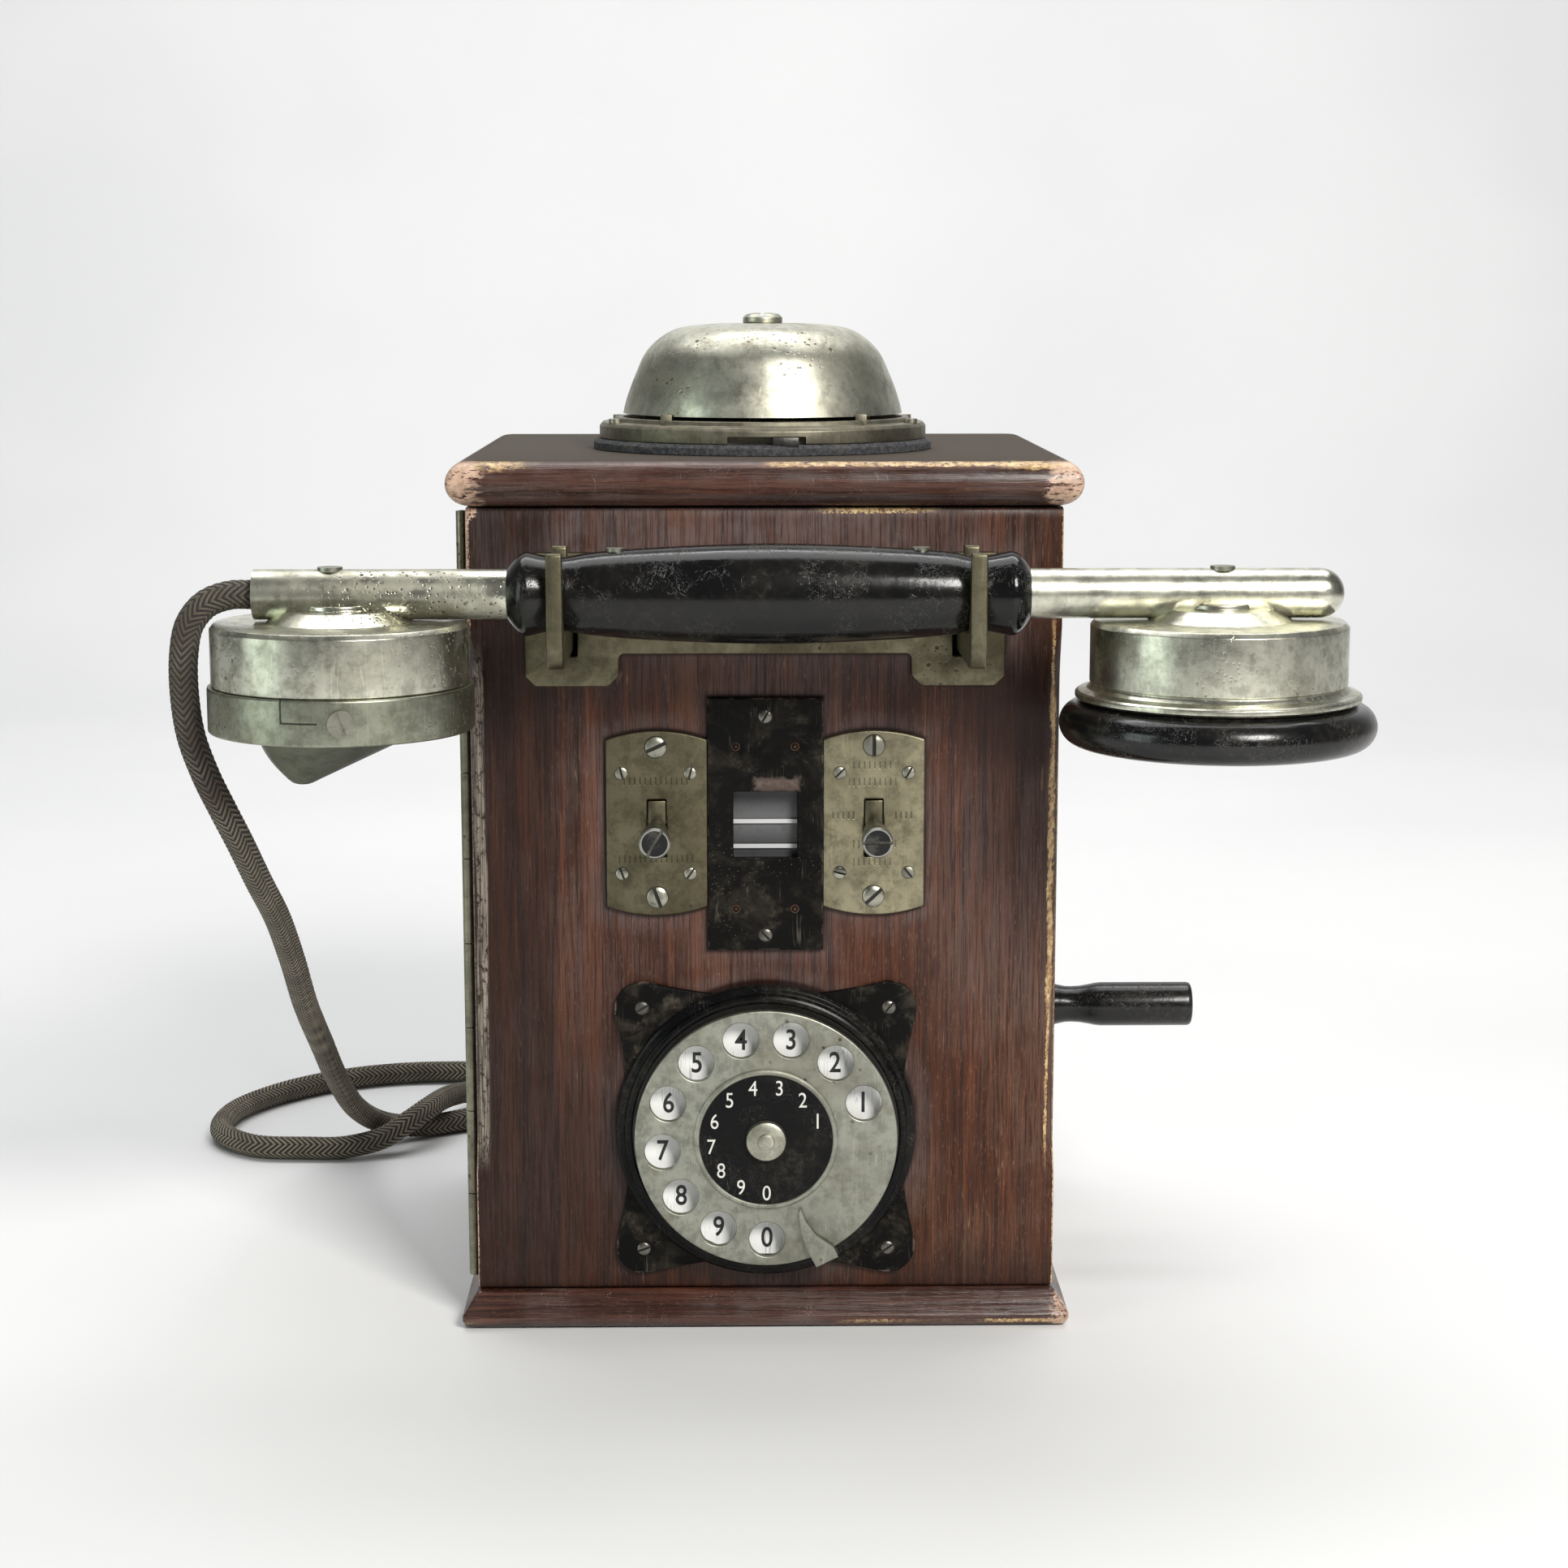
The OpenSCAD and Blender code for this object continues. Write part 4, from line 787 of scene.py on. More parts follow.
def plate(loops, front, back, edge, plane="XZ", bm=None, steps=3):
    """A flat plate with rounded edges, from front to back along the third axis.

    The first loop is the rim, counterclockwise, and the rest are holes, clockwise."""
    bm = bm or bmesh.new()
    toward = 1 if back > front else -1
    place = (lambda u, v, d: (u, d, v)) if plane == "XZ" else (lambda u, v, d: (d, u, v))
    fronts, backs = [], []
    for loop in loops:
        rows = []
        for k in range(steps + 1):
            angle = math.pi / 2 * k / steps
            moved = inset(loop, edge * (1 - math.sin(angle)))
            rows.append([place(u, v, front + toward * edge * (1 - math.cos(angle))) for u, v in moved])
        rows.append([place(u, v, back) for u, v in loop])
        made = skin(bm, rows, (False, False))
        fronts += [bm.edges.get((made[0][i - 1], made[0][i])) for i in range(len(loop))]
        backs += [bm.edges.get((made[-1][i - 1], made[-1][i])) for i in range(len(loop))]
    for edges in (fronts, backs):
        bmesh.ops.triangle_fill(bm, edges=edges, use_beauty=True, use_dissolve=False)
    return bm


def circle(cx, cz, radius, steps=48, hole=False):
    angles = [(-1 if hole else 1) * TAU * k / steps for k in range(steps)]
    return [(cx + radius * math.cos(a), cz + radius * math.sin(a)) for a in angles]


def rectangle(x0, x1, z0, z1, radius=0.0, hole=False):
    points = [(x0, z0), (x1, z0), (x1, z1), (x0, z1)]
    if radius:
        points = fillet(points, radius, 5)
    return points[::-1] if hole else points


def slices(levels, radius):
    """Rings of a board: each level is (z, x0, x1, y0, y1), with its front corners rounded."""
    rings = []
    for z, x0, x1, y0, y1 in levels:
        corners = fillet([(x0, y0), (x1, y0), (x1, y1), (x0, y1)], radius, 6)
        rings.append([(x, y, z) for x, y in corners])
    return rings


def box(bm, x0, x1, y0, y1, z0, z1, edge=0.25):
    """A block with softened edges."""
    made = bmesh.ops.create_cube(bm, size=1.0)["verts"]
    for v in made:
        v.co = Vector((x0 + (v.co.x + 0.5) * (x1 - x0), y0 + (v.co.y + 0.5) * (y1 - y0),
                       z0 + (v.co.z + 0.5) * (z1 - z0)))
    edges = {e for v in made for e in v.link_edges}
    bmesh.ops.bevel(bm, geom=list(edges), offset=edge, segments=2, affect="EDGES", profile=0.5)
    return bm


def cut(obj, bm):
    """Takes a bmesh in millimetres away from an object's mesh, for good."""
    bmesh.ops.scale(bm, vec=(MM, MM, MM), verts=bm.verts)
    bmesh.ops.recalc_face_normals(bm, faces=bm.faces)
    mesh = bpy.data.meshes.new("cutter")
    bm.to_mesh(mesh)
    bm.free()
    cutter = bpy.data.objects.new("cutter", mesh)
    bpy.context.scene.collection.objects.link(cutter)
    modifier = obj.modifiers.new("cut", "BOOLEAN")
    modifier.operation = "DIFFERENCE"
    modifier.solver = "EXACT"
    modifier.object = cutter
    graph = bpy.context.evaluated_depsgraph_get()
    result = bpy.data.meshes.new_from_object(obj.evaluated_get(graph))
    obj.modifiers.clear()
    obj.data = result
    bpy.data.objects.remove(cutter)
    obj.data.shade_smooth()
    obj.data.set_sharp_from_angle(angle=math.radians(35))


# ---------- camera ----------
def add_camera():
    data = bpy.data.cameras.new("camera")
    data.angle = math.radians(30)
    data.clip_start = 0.02
    camera = bpy.data.objects.new("camera", data)
    look_down, look_right = math.radians(9.512), math.radians(0.951)
    camera.location = (-0.0084, -0.9089, 0.3013)
    camera.rotation_euler = (math.pi / 2 - look_down, 0, -look_right)
    bpy.context.scene.collection.objects.link(camera)
    bpy.context.scene.camera = camera


# ---------- cord ----------
CORD_D = 8
CORD_CUT = 9
CORD_SIDES = 40
CORD_SPANS = 42
CORD_ROUTE = [
    (-139.2, -114, 220.7), (-146, -114, 220.5), (-152.5, -114, 218), (-157, -114, 212.5),
    (-158.8, -114, 204.5), (-159.2, -113, 193.4), (-158, -112, 181.8), (-155, -109, 170.5),
    (-151.4, -103, 159.2), (-148.6, -95, 149), (-146, -80, 134.5), (-144.2, -60, 119.6),
    (-143.8, -36, 101.2), (-144.4, -8, 80.5), (-144.8, 30, 57), (-144.8, 60, 38.2),
    (-142, 88, 19.4), (-136, 106, 9.2), (-128.5, 114.5, 5.2), (-119, 119.5, 4.05),
    (-108, 126, 4.05), (-90, 142, 4.05), (-79, 162, 4.05), (-84, 181, 4.05),
    (-101, 191, 4.05), (-121, 193, 4.05), (-142, 190, 4.05), (-163, 180, 4.05),
    (-182, 161, 4.05), (-194, 136, 4.05), (-193, 110, 4.05), (-178, 93.5, 4.05),
    (-160, 91, 4.05), (-147, 91, 4.2), (-134, 94, 6.6), (-124.5, 100.5, 11.2),
    (-119, 110.5, 13), (-115, 125, 12.4), (-111, 142, 9.5), (-106, 158, 6.5),
    (-97, 170, 8.5), (-83, 173, 13), (-66, 164, 8.5), (-53, 146, 4.4),
    (-44, 125, 6.5), (-40, 104, 15), (-40, 90, 22), (-40, 78, 24),
]


def cord_piece(name, centres, start_along, replaced):
    """A braided tube along its centres, with each yarn of the herringbone standing a little proud."""
    bm = bmesh.new()
    layer = bm.loops.layers.uv.new("cord")
    rows = []
    along = start_along
    side = Vector((0, 1, 0))
    runs = []
    for i, centre in enumerate(centres):
        ahead = (centres[min(i + 1, len(centres) - 1)] - centres[max(i - 1, 0)]).normalized()
        side = (side - ahead * side.dot(ahead)).normalized()
        up = ahead.cross(side)
        if i:
            along += (centre - centres[i - 1]).length
        row = []
        for k in range(CORD_SIDES):
            angle = TAU * k / CORD_SIDES
            around = angle * CORD_D / 2
            zig = abs((around / ZIG) % 2 - 1) * ZIG
            yarn = math.sin(TAU * (along + zig * ZIG_SLOPE) / YARN)
            radius = CORD_D / 2 - YARN_RISE + YARN_RISE * yarn
            row.append(bm.verts.new(centre + radius * (side * math.cos(angle) + up * math.sin(angle))))
        rows.append(row)
        runs.append(along)
    for i in range(len(rows) - 1):
        for k in range(CORD_SIDES):
            n = (k + 1) % CORD_SIDES
            face = bm.faces.new((rows[i][k], rows[i][n], rows[i + 1][n], rows[i + 1][k]))
            spans = (k, k + 1, k + 1, k)
            heights = (runs[i], runs[i], runs[i + 1], runs[i + 1])
            for loop, s, h in zip(face.loops, spans, heights):
                loop[layer].uv = (TAU * s / CORD_SIDES * CORD_D / 2, h)
    bm.faces.new(rows[0])
    bm.faces.new(rows[-1])
    obj = piece(name, bm, "cord", None, replaced, 50)
    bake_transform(obj)
    return along


def add_cord():
    line = smooth_line(CORD_ROUTE, CORD_SPANS)
    middle = CORD_CUT * CORD_SPANS
    upper, lower = line[: middle + 1], line[middle:]
    along = cord_piece("cord_upper_braid", upper, 0.0,
                       ["cord_upper"])
    cord_piece("cord_lower_braid", lower, along,
               ["cord_lower"])


# ---------- cabinet ----------
def add_cabinet():
    r = 6.5
    over, front = 5.2, 84
    levels = []
    for k in range(17):
        angle = -math.pi / 2 + math.pi * k / 16
        off = r * (1 - math.cos(angle))
        z = ROOF_Z + r + r * math.sin(angle)
        levels.append((z, -HALF_W - over + off, HALF_W + over - off, -front + off, BACK_Y))
    bm = bmesh.new()
    skin(bm, slices(levels, 2.2))
    roof = piece("roof_board", bm, "roof_wood", "cabinet", ["top_board"])
    holes = bmesh.new()
    low, high = ROOF_Z - 1, CASE_H + 1
    lathe([(0, low), (POST_HOLE_R, low), (POST_HOLE_R, high), (0, high)], (0, BELL_Y, 0), "Z", 32, holes)
    box(holes, 27, 39, BELL_Y - 4, BELL_Y + 4, low, high, 0.05)
    cut(roof, holes)

    outline = [(2.6, 0), (0.8, 0.8), (0, 2.6), (0, 4), (4.0, BASE_H - 0.6), (4.9, BASE_H)]
    outline = fillet(outline, 1.2, 4, closed=False)
    side = HALF_W + 4.5
    levels = [(z, off - side, side - off, FRONT_Y - 6 + 1.3 * off, BACK_Y) for off, z in outline]
    bm = bmesh.new()
    skin(bm, slices(levels, 1.6))
    piece("base_moulding", bm, "base_wood", "cabinet", ["base_board"])

    for name, x0, x1 in (("side_left", -HALF_W, -76), ("side_right", 76, HALF_W)):
        bm = bmesh.new()
        loops = [rectangle(DOOR_BACK_Y + 1.6, BACK_Y, BASE_H, ROOF_Z, 0.6)]
        if name == "side_right":
            loops.append(circle(SHAFT_Y, 122, SHAFT_HOLE_R, 48, hole=True))
        outer, inner = (x0, x1) if x0 < 0 else (x1, x0)
        plate(loops, outer, inner, 0.5, "YZ", bm)
        piece(name + "_board", bm, "side_wood", "cabinet", [name])


def bevel_at(z):
    """Width of the door's stopped bevel at a height."""
    low = min(max((z - 45.6) / 12.4, 0), 1)
    high = min(max((207 - z) / 18, 0), 1)
    return 4.5 * min(math.sin(low * math.pi / 2), math.sin(high * math.pi / 2))


def add_door():
    z0, z1 = BASE_H + 0.5, ROOF_Z - 0.5
    heights = [z0, z0 + 0.3, z0 + 0.9]
    heights += [z0 + 0.9 + (z1 - z0 - 1.8) * k / 90 for k in range(1, 90)]
    heights += [z1 - 0.9, z1 - 0.3, z1]
    rings = []
    for z in heights:
        end = min(z - z0, z1 - z)
        soft = 0.7 - min(end, 0.7)
        b = bevel_at(z)
        w = HALF_W - 0.3 * soft
        f = FRONT_Y + 0.9 * soft
        chip = 0.12 * noise.noise(Vector((3.1, 0, z * 0.4)))
        half = [(w, DOOR_BACK_Y), (w, f + b + 0.75), (w - 0.22, f + b + 0.22 + chip), (w - b - 0.22, f + 0.2),
                (w - b - 0.9, f)]
        rings.append([(x, y, z) for x, y in half] + [(-x, y, z) for x, y in half[::-1]])
    bm = bmesh.new()
    skin(bm, rings)
    door = piece("door_board", bm, "door_wood", "door", ["door_panel"])
    holes = bmesh.new()
    front, back = FRONT_Y - 1, DOOR_BACK_Y + 1
    for x in (-KEY_X, KEY_X):
        box(holes, x - 10, x + 10, front, back, KEY_Z - 22, KEY_Z + 18, 0.05)
    box(holes, -13, 13, front, back, 126, 177, 0.05)
    half, low, high = FORK_SLOT
    for x in (-FORK_X, FORK_X):
        box(holes, x - half, x + half, front, back, low, high, 0.05)
    lathe([(0, -back), (33, -back), (33, -front), (0, -front)], (0, 0, DIAL_Z), "Y", 96, holes)
    cut(door, holes)


# ---------- bell ----------
def add_bell():
    profile = fillet([(37, 0), (51.4, 0), (51.4, 2.2), (50.4, 3.2), (37, 3.2)], 0.5)
    bm = ring_lathe(profile, (0, BELL_Y, CASE_H))
    for v in bm.verts:
        v.co.z += 0.12 * noise.noise(v.co * 0.35) if v.co.z > CASE_H + 0.5 else 0
    piece("bell_gasket_felt", bm, "gasket", "cabinet", ["bell_gasket"])

    z0 = CASE_H + 3.2
    profile = fillet([(38, 0), (49.6, 0), (49.6, 3.8), (48.7, 4.9), (45, 5), (44.4, 6.4), (42.2, 6.4),
                      (41.5, 3), (38, 3)], 0.5)
    ring = piece("bell_ring", ring_lathe(profile, (0, BELL_Y, z0)), "dull_nickel", "cabinet",
                 ["bell_base_ring"])
    slots = bmesh.new()
    box(slots, -10.7, 12.1, BELL_Y - 51, BELL_Y - 44.6, z0 - 1, z0 + 2.4, 0.3)
    box(slots, -51, -48.2, BELL_Y - 3, BELL_Y + 3, z0 - 1, z0 + 7, 0.3)
    cut(ring, slots)
    bm = bmesh.new()
    box(bm, 2.4, 10, BELL_Y - 50.4, BELL_Y - 44, z0 - 0.6, z0 + 2.2, 0.3)
    piece("tone_lever", bm, "dark_steel", "cabinet")
    bm = bmesh.new()
    for x in (-28.6, 28.6):
        y = BELL_Y - math.sqrt(43.6 ** 2 - x * x)
        box(bm, x - 1.7, x + 1.7, y - 0.8, y + 0.8, z0 + 4.2, z0 + 8.2, 0.3)
    piece("bell_ring_tabs", bm, "dull_nickel", "cabinet")

    shape = [(1, 0), (0.985, 0.1), (0.955, 0.25), (0.9, 0.467), (0.838, 0.67), (0.744, 0.825), (0.627, 0.933),
             (0.487, 0.978), (0.284, 1.0), (0.08, 1.0)]
    curve = smooth_line([(GONG_R * r, GONG_H * h, 0) for r, h in shape], 6)
    outer = [(c.x, min(c.y, GONG_H)) for c in curve]
    inner = [(max(r - 1.2, 3), max(min(h, GONG_H) - 1.2, 0)) for r, h in outer]
    rim = [(GONG_R - 1.2, 0.15), (GONG_R - 0.9, -0.05), (GONG_R - 0.3, -0.05)]
    profile = [*inner[::-1], *rim, *outer]
    piece("gong_shell", ring_lathe(profile, (0, BELL_Y, GONG_Z), steps=192), "nickel", "cabinet",
          ["bell_gong"], 50)
    crown = GONG_Z + GONG_H
    profile = fillet([(0, 3.15), (3.2, 3.1), (5.0, 2.7), (6, 1.7), (6, 0), (0, 0)], 0.5, 4, closed=False)
    screw = piece("gong_screw", lathe(profile, (0, BELL_Y, crown), steps=64), "nickel", "cabinet",
                  ["bell_screw"])
    slot = bmesh.new()
    box(slot, -0.65, 0.65, BELL_Y - 8, BELL_Y + 8, crown + 1.9, crown + 5, 0.05)
    cut(screw, slot)


# ---------- handset ----------
def horn_ring(t, base_r, tip_r, drop, rise):
    """A ring of the horn, a hollow scoop that leans to the left, a share t of the way down it."""
    ring = []
    for k in range(96):
        angle = TAU * k / 96
        left = max(0.0, -math.cos(angle))
        radius = tip_r + (base_r - tip_r) * (1 - t) + 1.6 * left * math.sin(math.pi * t) * (base_r / HORN_R)
        ring.append((MIC_X - HORN_LEAN * t + radius * math.cos(angle), HANDSET_Y + radius * math.sin(angle),
                     RING_LOW_Z - drop * t + rise))
    return ring


def add_handset():
    spots = [(7.1, -70.4), (9.4, -68.6), (10.9, -66.9), (11.5, -65.2), (11.2, -63.4), (10.4, -60),
             (9.95, -56.6), (10.25, -53.6), (11.1, -49), (12.0, -40), (12.9, -25), (13.5, -10), (13.7, 1.5),
             (13.5, 13), (12.9, 28), (12.0, 43), (11.1, 51.6), (10.2, 55.4), (9.95, 57.3), (10.3, 60.2),
             (11.2, 64.8), (11.55, 66.8), (11, 68.6), (9.5, 70.2), (7.1, 71.8)]
    curve = smooth_line([(a, b, 0) for a, b in spots], 5)
    profile = [(p.x, p.y) for p in curve]
    profile = [(6.9, -70.4), *profile, (6.9, 71.8)]
    grip = ring_lathe(profile, (0, HANDSET_Y, HANDSET_Z), "X", 96)
    piece("grip", grip, "ebonite", "handset", ["handset_grip"], 40)

    boss = [(9.3, 218.2), (9.3, 216.7), (14.8, 216.6), (20, 213.5)]
    shell = [(34, 213.3), (35.1, 212), (35.1, 196.5), (33.9, 196.4), (33.9, 187), (32.2, 187), (32.2, 211.7)]
    outline = fillet([(0, 218.2), *boss, *shell, (0, 211.7)], 0.55, 4, closed=False)
    piece("mic_cup_shell", lathe(outline, (MIC_X, HANDSET_Y, 0)), "nickel_handset", "handset",
          ["mic_cup"])

    shell = [(34, 213.3), (35.2, 212), (35.2, 196.4), (34.7, 195.9), (35.3, 195.2), (36, 194.6), (38.3, 194),
             (39.1, 193.4), (39.1, 192.2), (38.4, 191.6), (32.6, 191.6), (32.6, 211.7)]
    outline = fillet([(0, 218.2), *boss, *shell, (0, 211.7)], 0.5, 4, closed=False)
    piece("ear_cup_shell", lathe(outline, (EAR_X, HANDSET_Y, 0)), "nickel_handset", "handset",
          ["ear_cup"])

    turns = [math.radians(a) for a in range(-90, 86, 8)]
    rim = [(37.4 + 6 * math.cos(a), 184.8 + 6 * math.sin(a)) for a in turns]
    outline = [(6, 183.2), (6.4, 182.2), (14, 181.4), (26, 180.6), (32, 178.95), *rim, (37.9, 191.1),
               (37.3, 191.5), (32.6, 191.5), (32.6, 186), (6, 186)]
    piece("ear_cap_moulding", ring_lathe(outline, (EAR_X, HANDSET_Y, 0)), "ebonite_worn", "handset",
          ["ear_cap"], 40)

    low, top = RING_LOW_Z, 196.4
    outline = fillet([(HORN_R, low), (36.2, low), (36.2, top), (34, top), (34, low + 2), (HORN_R, low + 2)],
                     0.8, 5)
    piece("mic_ring_shell", ring_lathe(outline, (MIC_X, HANDSET_Y, 0)), "ring_nickel", "mouth_ring",
          ["mic_ring"])

    rings = [horn_ring(0, HORN_R, 2.6, HORN_DROP, 2.0)]
    rings += [horn_ring(k / 24, HORN_R, 3.6, HORN_DROP, 0.0) for k in range(24)]
    rings += [horn_ring(1.0, HORN_R, tip, HORN_DROP, rise)
              for tip, rise in ((3.0, -0.35), (1.9, -0.75), (0.7, -0.9))]
    bm = bmesh.new()
    skin(bm, rings, (False, True))
    skin(bm, [horn_ring(k / 12, 21.6, 1.6, 12.6, 1.2) for k in range(13)], (False, True))
    piece("mouth_horn", bm, "horn_metal", "mouth_ring", ["mouthpiece"], 50)


# ---------- door fittings ----------
# Each screw: its x and z, the radius of its head, and the angle of its slot in degrees
PLATE_SCREWS = [
    (-31.4, 173.2, 3.1, 25), (-31.2, 129.3, 3.1, 110), (31.2, 173.6, 3.1, 90), (31.2, 129.5, 3.1, 43),
    (-41.3, 165.6, 1.8, 105), (-21.6, 165.6, 1.8, 75), (-41.3, 136.3, 1.8, 110), (-21.6, 136.3, 1.8, 55),
    (21.4, 165.6, 1.8, 45), (41.2, 165.6, 1.8, 60), (21.4, 136.4, 1.8, -15), (41.2, 136.4, 1.8, -50),
    (-30, 214, 2.4, 25), (30, 214, 2.4, -10),
]
ENAMEL_SCREWS = [
    (0, 182, 1.9, 60), (0, 118, 1.9, -45), (-35.9, 96.4, 1.9, 30), (35.9, 96.4, 1.9, 50),
    (-35.9, 23.6, 1.9, 20), (35.9, 23.6, 1.9, 35),
]


def add_screws(name, material, places, replaced=()):
    """Domed slotted heads on the plates: two half domes on a near-black root, with the slot between them; the
    root's colour is painted shade in each slot and round each head.
    """
    heads, roots = bmesh.new(), bmesh.new()
    for x, z, radius, degrees in places:
        high = 0.36 * radius
        floor = 0.12 * high
        dome = [(0, high), (0.5 * radius, 0.94 * high), (0.84 * radius, 0.74 * high),
                (0.97 * radius, 0.5 * high), (radius, floor), (radius, floor - 0.05), (0, floor - 0.05)]
        root = [(0, floor), (radius + 0.16, floor - 0.08), (radius + 0.2, -0.3), (0, -0.3)]
        lathe(root, (x, PLATE_Y, z), "Y", 40, roots)
        across = Vector((-math.sin(math.radians(degrees)), 0, math.cos(math.radians(degrees))))
        for side in (-1, 1):
            half = lathe(dome, (x, PLATE_Y, z), "Y", 40)
            made = bmesh.ops.bisect_plane(half, geom=[*half.verts, *half.edges, *half.faces],
                                          plane_co=Vector((x, 0, z)) + side * 0.17 * radius * across,
                                          plane_no=side * across, clear_inner=True)["geom_cut"]
            bmesh.ops.contextual_create(half, geom=[e for e in made if isinstance(e, bmesh.types.BMEdge)])
            scrap = bpy.data.meshes.new("half")
            half.to_mesh(scrap)
            heads.from_mesh(scrap)
            half.free()
            bpy.data.meshes.remove(scrap)
    piece(name, heads, material, "door", replaced)
    piece(name + "_roots", roots, "screw_slot_shade", "door")


def key_plate_outline(cx):
    half, bow, w = 24.4, 2.6, 29.2
    radius = (w * w / 4 + bow * bow) / (2 * bow)
    reach = math.asin(w / 2 / radius)
    points = []
    for side in (1, -1):
        for k in range(17):
            angle = reach * (1 - 2 * k / 16)
            rise = half + bow - radius + radius * math.cos(angle)
            points.append((cx + side * radius * math.sin(angle), KEY_Z + side * rise))
    return fillet(points, 0.5, 3)


def add_fittings():
    for side, name in ((-1, "left"), (1, "right")):
        x = side * KEY_X
        slot = rectangle(x - 2.8, x + 2.8, LEVER_Z - 8.4, LEVER_Z + 8.4, 0.5, hole=True)
        bm = plate([key_plate_outline(x), slot], PLATE_Y, FRONT_Y, 0.55)
        for s in (-1, 1):
            box(bm, x + s * 7.75 - 0.75, x + s * 7.75 + 0.75, FRONT_Y, -59, KEY_Z - 16, KEY_Z + 14, 0.1)
        tongue = box(bmesh.new(), x - 2.55, x + 2.55, -79.3, -78.3, LEVER_Z + 1, LEVER_Z + 7.9, 0.25)
        piece(f"key_tongue_{name}", tongue, "silver_plate", f"key_{name}")
        piece(f"key_plate_{name}_plate", bm, f"key_plate_{name}", "door",
              [f"key_plate_{name}"])

    rim = rectangle(-16.65, 16.65, 113.6, 187.3, 0.4)
    window = rectangle(-9.2, 9.2, 140.8, 160.1, 0.3, hole=True)
    dots = [circle(x, z, 0.8, 16, hole=True) for x, z in PIN_SPOTS]
    piece("indicator_front", plate([rim, window, *dots], PLATE_Y, FRONT_Y, 0.45), "indicator_enamel", "door",
          ["indicator_plate"])

    add_screws("plate_screw_heads", "screw_nickel", PLATE_SCREWS, ["plate_screws"])
    add_screws("enamel_screw_heads", "screw_dark", ENAMEL_SCREWS)
    pins, rims = bmesh.new(), bmesh.new()
    for x, z in PIN_SPOTS:
        place = (x, PLATE_Y, z)
        lathe([(0, 0.55), (0.4, 0.45), (0.7, 0.1), (0.75, -1.6), (0, -1.6)], place, "Y", 24, pins)
        ring_lathe([(0.85, -0.2), (0.9, 0.22), (1.25, 0.2), (1.35, -0.2)], place, "Y", 32, rims)
    piece("indicator_pins", pins, "pin_brown", "door")
    piece("indicator_pin_rims", rims, "pin_brown", "door")

    foot, bar, top = 190.7, 200, 229
    half = [(40.8, bar), (41.8, bar - 1), (41.8, foot + 3), (44.8, foot), (65.6, foot), (68.6, foot + 3),
            (68.6, top - 3), (65.6, top)]
    rim = fillet([*half, *[(-x, z) for x, z in half[::-1]]], 1.6, 4)
    wide, low, high = FORK_SLOT
    slots = [rectangle(x - wide, x + wide, low, high, 0.6, hole=True) for x in (-FORK_X, FORK_X)]
    piece("hook_plate", plate([rim, *slots], PLATE_Y, FRONT_Y, 0.5), "silver_plate", "door",
          ["hook_backplate"])

    # Forks: a U that the tube lies in, with a stem back through the door
    low, high, out, inner, thick = 200.9, 232.8, 15, 10.8, 8
    y0, y1, stem = HANDSET_Y - out, HANDSET_Y + out, -59
    turns = [-math.pi * k / 32 for k in range(33)]
    cup = [(HANDSET_Y + inner * math.cos(a), HANDSET_Z + inner * math.sin(a)) for a in turns]
    profile = [(stem, low), (stem, low + thick), (y1, low + thick), (y1, high), (HANDSET_Y + inner, high), *cup,
               (HANDSET_Y - inner, high), (y0, high)]
    turns = [math.pi / 2 * k / 10 for k in range(11)]
    bend = [(y0 + thick * (1 - math.cos(a)), low + thick * (1 - math.sin(a))) for a in turns]
    rim = fillet([*profile, *bend], 0.9, 3)
    bm = bmesh.new()
    for centre in (-FORK_X, FORK_X):
        for way in (-1, 1):
            plate([rim], centre + way * 2.2, centre, 0.55, "YZ", bm)
    bmesh.ops.remove_doubles(bm, verts=bm.verts, dist=1e-4)
    inside = [f for f in bm.faces if all(abs(abs(v.co.x) - FORK_X) < 1e-3 for v in f.verts)]
    bmesh.ops.delete(bm, geom=inside, context="FACES")
    box(bm, -54.8, 54.8, -65, stem, low, low + thick, 0.3)
    piece("fork_pair", bm, "silver_plate", "cradle", ["cradle"])


# ---------- dial ----------
def dial_plate_outline():
    half, lobe, sag = 44, 8, 4.5
    c = half - lobe
    side = [(half - sag * (1 - t * t), t * (c - 1)) for t in [-1 + 2 * k / 8 for k in range(9)]]
    turns = [math.radians(a) for a in range(12, 79, 11)]
    corner = [(c + lobe * math.cos(a), c + lobe * math.sin(a)) for a in turns]
    points = []
    for quarter in range(4):
        cos, sin = math.cos(quarter * math.pi / 2), math.sin(quarter * math.pi / 2)
        points += [(x * cos - z * sin, x * sin + z * cos + DIAL_Z) for x, z in [*side, *corner]]
    return points


def digit(name, text, x, z, y, height, material, body, squeeze=1.0, bold=0.0):
    """A numeral as thin raised paint."""
    curve = bpy.data.curves.new(name, "FONT")
    curve.body = text
    curve.size = 10
    curve.extrude = 0.02
    curve.offset = bold
    curve.align_x = "CENTER"
    holder = bpy.data.objects.new(name, curve)
    bpy.context.scene.collection.objects.link(holder)
    mesh = bpy.data.meshes.new_from_object(holder.evaluated_get(bpy.context.evaluated_depsgraph_get()))
    bpy.data.objects.remove(holder)
    tall = [v.co.y for v in mesh.vertices]
    wide = [v.co.x for v in mesh.vertices]
    scale = height / (max(tall) - min(tall))
    mid_x, mid_z = (max(wide) + min(wide)) / 2, (max(tall) + min(tall)) / 2
    for v in mesh.vertices:
        u, w, d = v.co
        v.co = (MM * (x + (u - mid_x) * scale * squeeze), MM * (y - d * 1.5), MM * (z + (w - mid_z) * scale))
    return keep(name, mesh, material, body)


